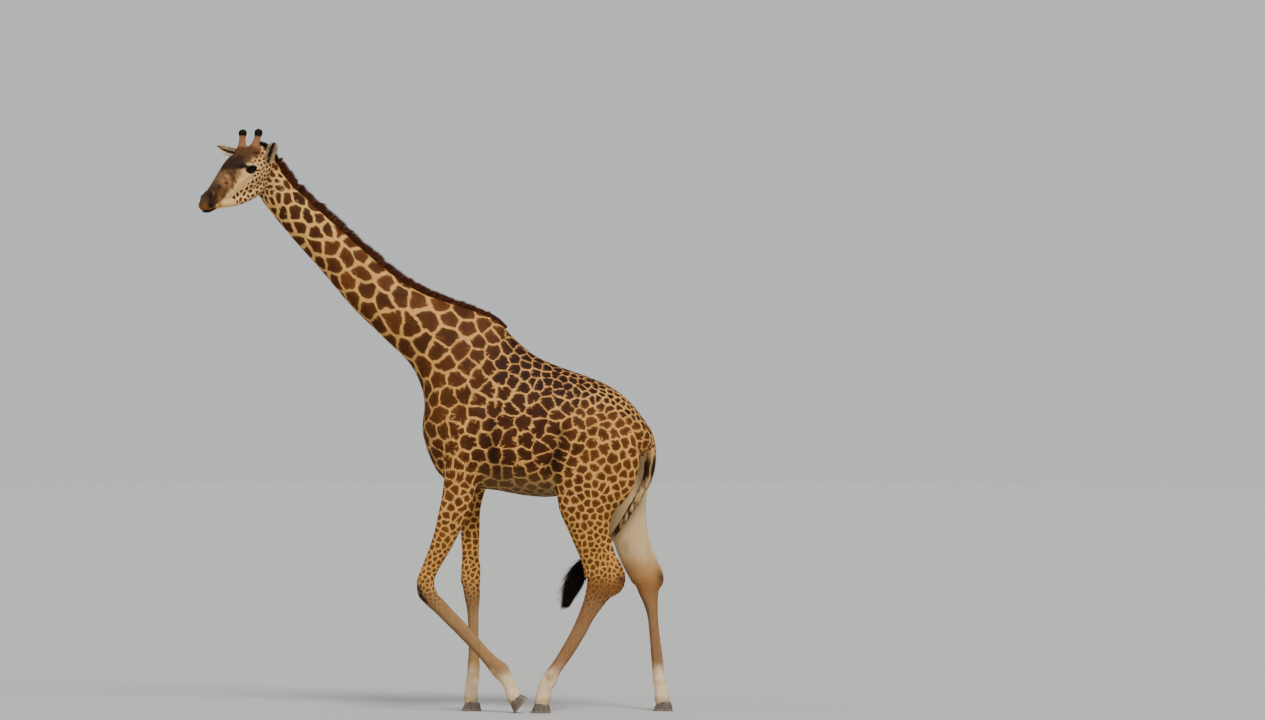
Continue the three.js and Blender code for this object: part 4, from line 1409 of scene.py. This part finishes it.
def widths(narrow, more, count, taper, rng):
    """The width of each strand at each of its stations."""
    return (narrow + more * rng.random(count))[:, None] * np.array(taper)


MANE = (0.002, 0.53)  # where it starts and ends along the torso's rows


def crest(k):
    """The top line of the neck at each k, and the way up from it."""
    rows = rows_at(TORSO, k)
    up = unit(np.stack([rows[:, 0] - rows[:, 2], np.zeros(len(rows)), rows[:, 1] - rows[:, 3]], 1))
    return rows[:, [0, 6, 1]], up


def make_mane(rng):
    """Stiff upright hair on the crest of the neck, in clumps, from behind the ears to the withers."""
    count = 9000
    k = rng.uniform(*MANE, count)
    along = (k - MANE[0]) / (MANE[1] - MANE[0])
    clump = np.round(along * 190) / 190 + rng.normal(0, 0.0009, count)
    centre, up = crest(lerp(*MANE, along))
    pulled, _ = crest(lerp(*MANE, np.clip(clump, 0, 1)))
    flow = rows_at(TORSO, k + 0.004) - rows_at(TORSO, k - 0.004)
    flow = unit(np.stack([flow[:, 0], np.zeros(count), flow[:, 1]], 1))
    fade = lerp(0.9, 1, step(0, 0.09, along)) * lerp(1, 0.1, step(0.62, 1.0, along))
    across = rng.uniform(-1, 1, count)
    ragged = 0.8 + 0.26 * noise(np.stack([along * 1700, across * 3, k * 0], 1), 26, 5)
    tall = (20 + 56 * fade) * np.clip(ragged, 0.5, 1)
    tall = tall * rng.uniform(0.78, 1.04, count) * (1 - 0.22 * np.abs(across))
    aside = across[:, None] * np.array([0, 1, 0])
    root, target = centre + aside * 15 - up * 16, pulled + aside * 6 - up * 16
    lean = 0.10 + 0.12 * rng.random(count)
    out = unit(up + flow * lean[:, None] + (target - root) / 110 + aside * 0.1)
    spine = curved(root, out, flow * 0.18, tall + 14, 5, rng, 0.035)
    width = widths(1.5, 1.1, count, UPRIGHT_TAPER, rng)
    colour = tone_layer(rgb(74, 32, 14), 0.32, count, rng)
    colour = paint(colour, ((40, 20, 12), step(0.3, 0.9, rng.random(count)) * 0.6))
    colour = paint(colour, ((150, 88, 48), step(0.75, 1, rng.random(count)) * 0.5))
    uv = np.stack([0.5 + 0.46 * across, 0.01 + 0.98 * along], 1)
    layers = {"ground": colour, "grain": root / 1000 * [1, 1, 0.2]}
    return strands("mane_locks", spine, flow, width, uv, layers)


def make_mane_ridge():
    """The fleshy ridge that the mane stands on."""
    steps = 90
    middle, up = crest(np.linspace(MANE[0] + 0.002, MANE[1] - 0.004, steps))
    tall = 12 + 18 * lerp(1, 0.1, step(0.62, 1.0, np.linspace(0, 1, steps)))
    c, s = circle(16)
    high = s * tall[:, None]
    rings = (middle - up * 12)[:, None] + c[:, None] * [0, 11, 0] + high[..., None] * up[:, None]
    flat = rings.reshape(-1, 3)
    layers = {"ground": np.tile(rgb(34, 15, 7), (len(flat), 1)), "grain": flat / 1000}
    return build_loft("mane_ridge", rings, layers)


def make_poll_hair(skin, rng):
    """Dark hair across the top of the head behind the ossicones, and down the nape to the mane."""
    points = skin["points"]
    t, l, s = skin["at"].head.T
    crown = around(t, 20 - 14 * (l / 84) ** 2, 13) * step(98, 84, np.abs(l)) * (s > 50) * (s < 118)
    mane_start = crest(MANE[0])[0][0]
    path = lerp(from_head((8, 0, 112)), mane_start, np.linspace(0, 1, 14)[:, None])
    path = np.array([points[np.argmin(((points - p) ** 2).sum(1))] for p in path])
    gap = np.min([from_segment(points, a, b) for a, b in zip(path, path[1:] + 0.01)], axis=0)
    nape = step(22, 8, gap)
    count = 3000
    _, mixed = pick(skin, np.maximum(crown, nape), count, rng)
    root, normal = mixed(points), unit(mixed(skin["normals"]))
    place = in_head(root)
    down_nape = step(0, -110, place[:, 0])
    back = unit(path[-1] - path[0])
    out = unit(normal + back * rng.uniform(0.1, 0.5, count)[:, None] + rng.normal(0, 0.08, (count, 3)))
    length = rng.uniform(20, 42, count) * lerp(0.8, 1.75, down_nape)
    spine = curved(root - normal * 4, out, back * 0.15, length, 5, rng, 0.05)
    width = widths(1.2, 0.9, count, UPRIGHT_TAPER, rng)
    colour = paint(tone_layer(rgb(36, 20, 13), 0.3, count, rng), ((74, 32, 14), down_nape * 0.8))
    uv = np.stack([0.5 + place[:, 1] / 260, 0.6 + place[:, 0] / 500], 1)
    side = np.tile(AIM, (count, 1))
    return strands("poll_hair", spine, side, width, uv, {"ground": colour, "grain": root / 1000})


def make_brush(rng):
    """Long black hairs at the end of the tail, from roots near its top to tips lower down."""
    count = 3000
    steps, sides = 60, 24
    high = count * 3 // 4
    k = np.concatenate([rng.uniform(0.0, 0.45, high), rng.uniform(0.3, 0.8, count - high)])
    rings = limb_rings(BRUSH, 1, steps, sides)
    column = rng.integers(0, sides, count)

    def place(at, low, high, towards, out):
        """Places at so much of the length, out from the middle towards a column of the rings."""
        row = np.clip((at * steps).astype(int), low, high)
        middle = rings[row].mean(1)
        return middle + (rings[row, towards] - middle) * out[:, None]

    root = place(k, 0, steps - 1, column, rng.uniform(0.0, 0.9, count))
    end = np.clip(k + rng.uniform(0.38, 0.72, count), 0, 1)
    clump = (column // 2 * 2 + rng.integers(0, 2, count) * 5) % sides
    tip = place(end, 1, steps, clump, rng.uniform(0.0, 1.6, count))
    tip = tip + np.array([-44, 0, -22]) * rng.uniform(0, 1, (count, 1)) ** 3
    # A few wisps fly forward.
    wisp = (rng.random(count) > 0.93) & (column // 4 == 3)
    tip = tip + wisp[:, None] * np.array([-95, 0, 30]) * rng.uniform(0.5, 1, (count, 1))
    belly = place((k + end) / 2, 0, steps, clump, rng.uniform(0.1, 1.35, count))
    s = np.linspace(0, 1, 8)[None, :, None]
    spine = root[:, None] * (1 - s) ** 2 + 2 * belly[:, None] * s * (1 - s) + tip[:, None] * s**2
    spine += rng.normal(0, 5.0, (count, 1, 3)) * np.sin(s * 5) * s
    width = widths(1.3, 1.0, count, [1, 1, 1, 0.95, 0.85, 0.7, 0.45, 0], rng)
    side = np.tile([0.0, 1.0, 0.2], (count, 1)) + rng.normal(0, 0.5, (count, 3))
    colour = tone_layer(rgb(26, 17, 13), 0.35, count, rng)
    colour = paint(colour, ((92, 60, 34), step(0.9, 1, rng.random(count)) * 0.7))
    uv = np.stack([(column + rng.random(count)) / 24.5, 0.01 + 0.97 * k], 1)
    layers = {"ground": colour, "grain": root / 1000 * [1, 1, 0.1]}
    return strands("tail_tuft_locks", spine, side, width, uv, layers)


# ---- Ears, eyes and hooves ----------------------------------------------------------------------

EAR_LENGTH, EAR_HALF = 220, 46
EAR_STEPS, EAR_ARC = 56, 26  # faces along an ear, and across each side of it
EARS = {  # in the head's frame: the root, the way to the tip, the way it opens, and its relative length
    "left": ((50, 78, 8), (0.1, 0.72, 0.62), (0.9, 0.4, -0.2), 1.0),
    "right": ((62, -82, 30), (0.38, -0.67, 0.64), (0.2, 0.52, 0.8), 1.06),
}


def ear_axes(word):
    """The way to an ear's tip, the way it opens and the way across it, in the head's frame."""
    tip, mouth = (np.array(v, float) for v in EARS[word][1:3])
    up = unit(tip)
    out = unit(mouth - up * (mouth @ up))
    return up, out, np.cross(up, out)


def ear_rings(word):
    """A cupped ear, rolled up at its root. Each ring has its back from edge to edge, then its inside."""
    up, out, across = ear_axes(word)
    root, longer = np.array(EARS[word][0], float), EARS[word][3]
    arc = np.linspace(-1, 1, EAR_ARC + 1)
    edge = np.clip(1 - ((np.abs(arc) - 0.86) / 0.14) ** 2, 0, 1)
    thin = np.where(np.abs(arc) > 0.86, np.sqrt(edge), 1)
    rings = []
    for i in range(EAR_STEPS + 1):
        k = i / EAR_STEPS
        width = math.sin(math.pi * min(0.14 + k * 0.7, 1)) * (1 - 0.8 * k**5)
        fold = lerp(2.3, 1, float(step(0, 1, min(k * 1.4, 1))))
        tip_round = math.sqrt(max(1 - (max(k - 0.84, 0) / 0.162) ** 2, 0.0))
        radius = lerp(14, EAR_HALF * longer, width) / min(fold, math.pi / 2) * 0.985 * tip_round
        wall = lerp(8, 3, k) / 2 * tip_round
        middle = root + up * (k * (EAR_LENGTH * longer - 3)) + out * radius * 0.4
        angle = np.concatenate([arc * fold, arc[::-1] * fold * 0.985])
        inside = np.maximum(radius - wall * thin[::-1], radius * 0.4)
        reach = np.concatenate([radius + wall * thin, inside])
        rings.append(middle + np.outer(reach * np.sin(angle), across) - np.outer(reach * np.cos(angle), out))
    return from_head(np.array(rings))


def ear_colours(word, points):
    """Pale, with brown blotches low on the back, brown inside with painted shadow near black towards its
    upper edge, and a pale rim.
    """
    arc = np.linspace(-1, 1, EAR_ARC + 1)
    rim = np.tile(np.concatenate([arc, -arc]), EAR_STEPS + 1)
    inside = np.tile(np.repeat([0.0, 1.0], EAR_ARC + 1), EAR_STEPS + 1)
    k = np.repeat(np.linspace(0, 1, EAR_STEPS + 1), 2 * EAR_ARC + 2)
    toward_shadowed_edge = np.sign((ear_axes(word)[2] @ HEAD) @ np.array([-1.0, 0, 1.5])) * rim
    blotch = (1 - inside) * step(-0.1, 0.3, noise(points, 26, 62)) * step(0.7, 0.3, k)
    return paint(
        np.tile(rgb(224, 192, 150), (len(points), 1)),
        ((122, 76, 38), blotch * 0.8),
        ((232, 206, 168), inside),
        ((84, 56, 38), inside * step(-0.45, -0.1, toward_shadowed_edge + 0.12 * noise(points, 12, 63))),
        # Painted shadow: near black inside the cup towards its upper edge.
        ((30, 17, 12), inside * step(-0.15, 0.2, toward_shadowed_edge) * step(0.97, 0.75, k)),
        ((240, 216, 180), step(0.84, 0.96, np.abs(rim))),
        ((110, 76, 50), step(0.965, 1, k) * 0.5),
    )


def unmarked(ground, grain):
    """What the coat's material reads where there are no marks."""
    field = np.tile([NO_MARK, 0, 0], (len(ground), 1))
    return {"ground": ground, "mark": ground, "field": field, "grain": grain}


def make_ear(word, rng):
    """An ear, the short fur on its back and the pale hairs inside it."""
    rings = ear_rings(word)
    out = unit(rings - rings.mean(1, keepdims=True))
    bumpy = rings + 0.8 * noise(rings.reshape(-1, 3), 22, 61).reshape(*rings.shape[:2], 1) * out
    flat = bumpy.reshape(-1, 3)
    ground = ear_colours(word, flat)
    yield build_loft("cupped_ear_" + word, bumpy, unmarked(ground, (flat @ HEAD.T) / 1000 * [0.3, 1, 1]))
    yield make_ear_fur(word, rings, ground.reshape(rings.shape), rng)
    yield make_ear_hair(word, rings, rng)


def make_ear_fur(word, rings, ground, rng):
    """Short tufts on the back of an ear."""
    count = 5000
    row, column = rng.integers(1, EAR_STEPS - 1, count), rng.integers(1, EAR_ARC, count)
    here, ahead = rings[row, column], rings[row + 1, column]
    root = here + rng.uniform(0, 1, (count, 1)) * (ahead - here)
    flow = unit(ahead - here)
    normal = np.cross(flow, rings[row, column + 1] - here)
    outside = ((here - rings[row, -1 - column]) * normal).sum(1, keepdims=True)
    normal = unit(normal * np.sign(outside))
    side = np.cross(normal, flow)
    flow = unit(flow + side * rng.normal(0, 0.2, (count, 1)))
    size = rng.uniform(9, 16, (count, 1))
    spine = np.stack([root - normal * 0.4, root + flow * size + normal * size * 0.16], 1)
    width = np.concatenate([size * 0.06, size * 0], axis=1)
    colour = tone_layer(ground[row, column], 0.08, count, rng)
    uv = np.stack([column / (2 * EAR_ARC + 2), 0.02 + 0.96 * row / EAR_STEPS], 1)
    return strands("ear_fur_" + word, spine, side, width, uv, unmarked(colour, root / 1000), shade=normal)


def make_ear_hair(word, rings, rng):
    """Pale hairs along both rims and inside the cup of an ear."""
    count = 2600
    k = rng.uniform(0.08, 0.97, count)
    row = (k * EAR_STEPS).astype(int)
    first_rim = rng.integers(0, 2, count) == 0
    deep = (rng.random(count) ** 2 * EAR_ARC * 0.32).astype(int)
    column = np.where(first_rim, EAR_ARC + 1 + deep, 2 * EAR_ARC + 1 - deep)
    root = rings[row, column]
    up, out, _ = (axis @ HEAD for axis in ear_axes(word))
    inward = unit(rings[row].mean(1) - root)
    away = unit(up * 0.9 + out * 0.25 + inward * rng.uniform(-0.15, 0.5, (count, 1)))
    length = rng.uniform(10, 26, count) * lerp(1, 0.6, k)
    spine = curved(root, away, up * 0.2, length, 4, rng, 0.05)
    width = np.tile([0.55, 0.495, 0.33, 0], (count, 1))
    colour = tone_layer(rgb(248, 222, 178), 0.12, count, rng)
    uv = np.stack([column / (2 * EAR_ARC + 3), 0.02 + 0.96 * k], 1)
    layers = unmarked(colour, root / 1000 * [1, 1, 0.2])
    return strands("ear_hair_" + word, spine, np.cross(away, out), width, uv, layers)


EYEBALL_RADIUS = 26.0


def over_eye(x, y, lift):
    """Places over the left eye, x ahead and y up from its middle, on a ball larger than its own by lift."""
    out, ahead, up = eye_axes()
    h = np.sqrt(np.maximum((EYE_RADIUS + lift) ** 2 - x**2 - y**2, 30))
    return EYE + np.outer(x, ahead) + np.outer(y, up) + np.outer(h, out)


def make_eyeball(word, flip):
    """A ball that bulges at its front. Its grain is the place on it: ahead, up and out."""
    rows = 40
    c, s = circle(64)
    rings = []
    for i in range(rows + 1):
        lat = math.pi * (i + 0.01) / (rows + 0.02)
        bulge = 0.05 * math.exp(-((math.sin(lat) / 0.5) ** 2)) * (math.cos(lat) > 0)
        high = np.full(len(c), math.cos(lat) * (1 + bulge))
        rings.append(np.stack([math.sin(lat) * c, math.sin(lat) * s, high], 1))
    rings = np.array(rings) * EYEBALL_RADIUS
    out, ahead, up = eye_axes()
    place = from_head((EYE + rings @ np.array([ahead, up, out])) * flip)
    return build_loft("eyeball_" + word, place, {"grain": rings.reshape(-1, 3) / 1000})


def make_lid_rim(word, flip):
    """The rim of the lids, a thin tube around the eye."""
    c, s = circle(96)
    x = LID_HALF * c
    path = over_eye(x, s * lid_size(x, s)[1] * np.abs(s) ** 0.1, 1.2)
    outward = unit(path - EYE)
    over = np.cross(unit(np.roll(path, -1, 0) - np.roll(path, 1, 0)), outward)
    c, s = (1.9 * value[:, None] for value in circle(10))
    tube = from_head((path[:, None] + c * over[:, None] + s * outward[:, None]) * flip)
    long, sides = tube.shape[:2]
    i, j = np.indices((long, sides)).reshape(2, -1)
    corners = [(i + a) % long * sides + (j + b) % sides for a, b in ((0, 0), (1, 0), (1, 1), (0, 1))]
    return build("lid_" + word, tube.reshape(-1, 3), np.stack(corners, 1))


def make_lashes(word, flip, rng):
    """Lashes, long above the eye and short below it."""
    count = 260
    where = rng.uniform(0.05, 0.95, count) * math.pi
    low = rng.random(count) < 0.2
    x = LID_HALF * np.cos(where)
    y = np.where(low, -1, 1) * np.sin(where)
    root = over_eye(x, y * lid_size(x, y)[1], 2.5)
    out, ahead, up = eye_axes()
    reach = np.outer(x / 34, ahead) + out * 0.9 - up * np.where(low, 0.5, 0.3)[:, None]
    length = np.where(low, 9, 27) * rng.uniform(0.75, 1.15, count)
    bend = np.where(low, -0.2, 0.35)[:, None] * up
    spine = from_head(curved(root, unit(reach), bend, length, 6, rng, 0.03) * flip)
    width = np.tile([0.75, 0.675, 0.6, 0.45, 0.2625, 0], (count, 1))
    uv = np.stack([where / 3.3, low * 0.5 + 0.2], 1)
    layers = {"ground": np.tile(rgb(12, 8, 7), (count, 1)), "grain": root / 1000}
    return strands("lashes_" + word, spine, np.tile(AIM, (count, 1)), width, uv, layers)


HOOF = {"length": 138, "width": 56, "height": 74, "slope": 20, "between": 5}
FEET = {  # the toe's x and z, the foot's side, and how far it is tipped onto its toe, in degrees
    "fore_left": (100, -4, -1, 49),
    "fore_right": (-268, 0, 1, 0),
    "hind_left": (210, 0, -1, 0),
    "hind_right": (1040, 0, 1, 0),
}


def claw_rings(across):
    """One claw in its foot's frame, narrower towards the toe, with rounded edges above and below."""
    steps = 22
    back, out = oval(40, 2.7)
    toward_toe = np.maximum(-back, 0) ** 2
    rings = []
    for i in range(steps + 1):
        k = i / steps
        toe, heel = lerp(0, 34, k), lerp(HOOF["length"], HOOF["length"] - 12, k)
        half = lerp(HOOF["width"], HOOF["width"] * 0.84, k * k) / 2
        shrink = 1 - 0.06 * max(0, 1 - k / 0.06) - 0.05 * max(0, (k - 0.9) / 0.1)
        x = lerp(toe, heel, (back * shrink * 0.995 + 1) / 2)
        centre = across * (HOOF["width"] / 2 + HOOF["between"] / 2 - 5 * k - 6 * toward_toe)
        y = centre + out * half * (1 - 0.3 * toward_toe) * shrink * 0.98
        z = k * (HOOF["height"] - HOOF["slope"] * x / HOOF["length"])
        rings.append(np.stack([x, y, z], 1))
    return np.array(rings)


def make_hooves(material):
    """Each foot's two claws, with the cleft between them."""
    for foot, (x0, z0, side, tip) in FEET.items():
        c, s = math.cos(math.radians(tip)), math.sin(math.radians(tip))
        for word, across in (("outer", side), ("inner", -side)):
            rings = claw_rings(across)
            x, y, z = np.moveaxis(rings, 2, 0)
            high = np.maximum(z0 + x * s + z * c, 0)
            place = np.stack([x0 + x * c - z * s, y + side * FOOT_SPREAD, high], 2)
            name = f"{foot}_{word}"
            claw = build_loft("rounded_claw_" + name, place, {"grain": rings.reshape(-1, 3) / 1000})
            finish_piece(claw, material, "hoof", "hoof_" + name)


# ---- Everything together ------------------------------------------------------------------------

STAGE_RADIUS = 60
SUNS = {  # where from, strength, angle across in degrees, and colour
    "key": ((3.0, -6.5, 8.0), 3.1, 20, (1.0, 0.965, 0.91)),
    "fill": ((-7.0, -3.0, 4.0), 0.45, 50, (0.96, 0.98, 1.0)),
}
SKY = ((0.97, 0.985, 1.0, 1), 0.64)
# The photo's view: where the camera stands from the datum, in metres, its fall in degrees and its lens.
CAMERA = {"x": 0.901, "y": -45.0, "z": 2.713, "fall": 0.406, "lens": 188.3, "sensor": 36}


def make_stage():
    """A large, even grey floor."""
    n = Nodes("floor")
    place = n.place()
    colour = n.mix(n.noise(place, 0.8, 3), (0.445, 0.450, 0.448, 1), (0.468, 0.470, 0.468, 1))
    n.surface(colour, n.spread(n.noise(place, 4, 3), 0.7, 0.9), n.bump(n.noise(place, 60, 3), 0.001, 0.1))
    c, s = circle(96)
    mesh = bpy.data.meshes.new("floor")
    rim = np.stack([c, s, np.zeros_like(c)], 1) * STAGE_RADIUS
    mesh.from_pydata(rim.tolist(), [], [list(range(len(c)))])
    mesh.materials.append(n.material)
    linked("floor", mesh)


def make_camera_and_lights():
    """The photo's view, and a soft studio light."""
    scene = bpy.context.scene
    camera = bpy.data.cameras.new("camera")
    camera.sensor_width = CAMERA["sensor"]
    camera.lens = CAMERA["lens"]
    camera.clip_start = 1
    camera.clip_end = 300
    scene.camera = linked("camera", camera)
    scene.camera.location = (SHIFT[0] + CAMERA["x"], SHIFT[1] + CAMERA["y"], CAMERA["z"])
    scene.camera.rotation_euler = (math.radians(90 - CAMERA["fall"]), 0, 0)
    scene.world = bpy.data.worlds.new("studio")
    scene.world.use_nodes = True
    for socket, value in zip(scene.world.node_tree.nodes["Background"].inputs, SKY):
        socket.default_value = value
    for name, (place, strength, angle, colour) in SUNS.items():
        light = bpy.data.lights.new(name, "SUN")
        light.energy = strength
        light.angle = math.radians(angle)
        light.color = colour
        sun = linked(name, light)
        sun.location = place
        sun.rotation_euler = (-Vector(place)).to_track_quat("-Z", "Y").to_euler()


def make_giraffe():
    rng = np.random.default_rng(5)
    coat = coat_material()
    mane_hair = hair_material("mane", 0.45, 0.65)
    black_hair = hair_material("black_hair", 0.34, 0.55)
    hoof, eye, wet = hoof_material(), eye_material(), lid_material()

    points, triangles, labels = make_skin()
    normals = normals_of(points, triangles)
    ground, mark, edge, at = markings(points, normals, labels)
    ragged = np.where(at.face, 3.0, np.where(at.leg, 6.0, 8.0))
    layers = {"ground": np.clip(ground, 0, 1), "mark": np.clip(mark, 0, 1), "grain": grain_of(at),
              "field": np.stack([edge, ragged, edge * 0], 1)}
    body = build("skin", points, triangles, layers)
    ossicones = [f"ossicone_{word}" for word in ("left", "right")]
    legs = [f"leg_{leg}_{half}" for leg in LEGS for half in ("upper", "lower")]
    finish_piece(body, coat, "coat", "trunk", "neck", "head", "lower_jaw", "tail", *ossicones, *legs)
    skin = {"points": points, "triangles": triangles, "normals": normals, "at": at, "layers": layers}
    skin["lie"] = np.where((at.face & ~labels.on("ossicone"))[:, None], -AIM, labels.lie)
    for piece in short_coat(skin, rng):
        finish_piece(piece, coat, "coat")
    finish_piece(make_mane(rng), mane_hair, "mane", "mane")
    finish_piece(make_mane_ridge(), mane_hair, "mane", "mane")
    finish_piece(make_brush(rng), black_hair, "tuft", "tail_tuft")
    finish_piece(make_poll_hair(skin, rng), mane_hair, "mane")
    for word in ("left", "right"):
        for piece in make_ear(word, rng):
            finish_piece(piece, coat, "coat", "ear_" + word)
        flip = np.array([1, 1 if word == "left" else -1, 1])
        finish_piece(make_eyeball(word, flip), eye, "eye", "eye_" + word)
        finish_piece(make_lid_rim(word, flip), wet, "eye", "eye_" + word)
        finish_piece(make_lashes(word, flip, rng), black_hair, "tuft", "eye_" + word)
    make_hooves(hoof)


make_camera_and_lights()
make_stage()
make_giraffe()
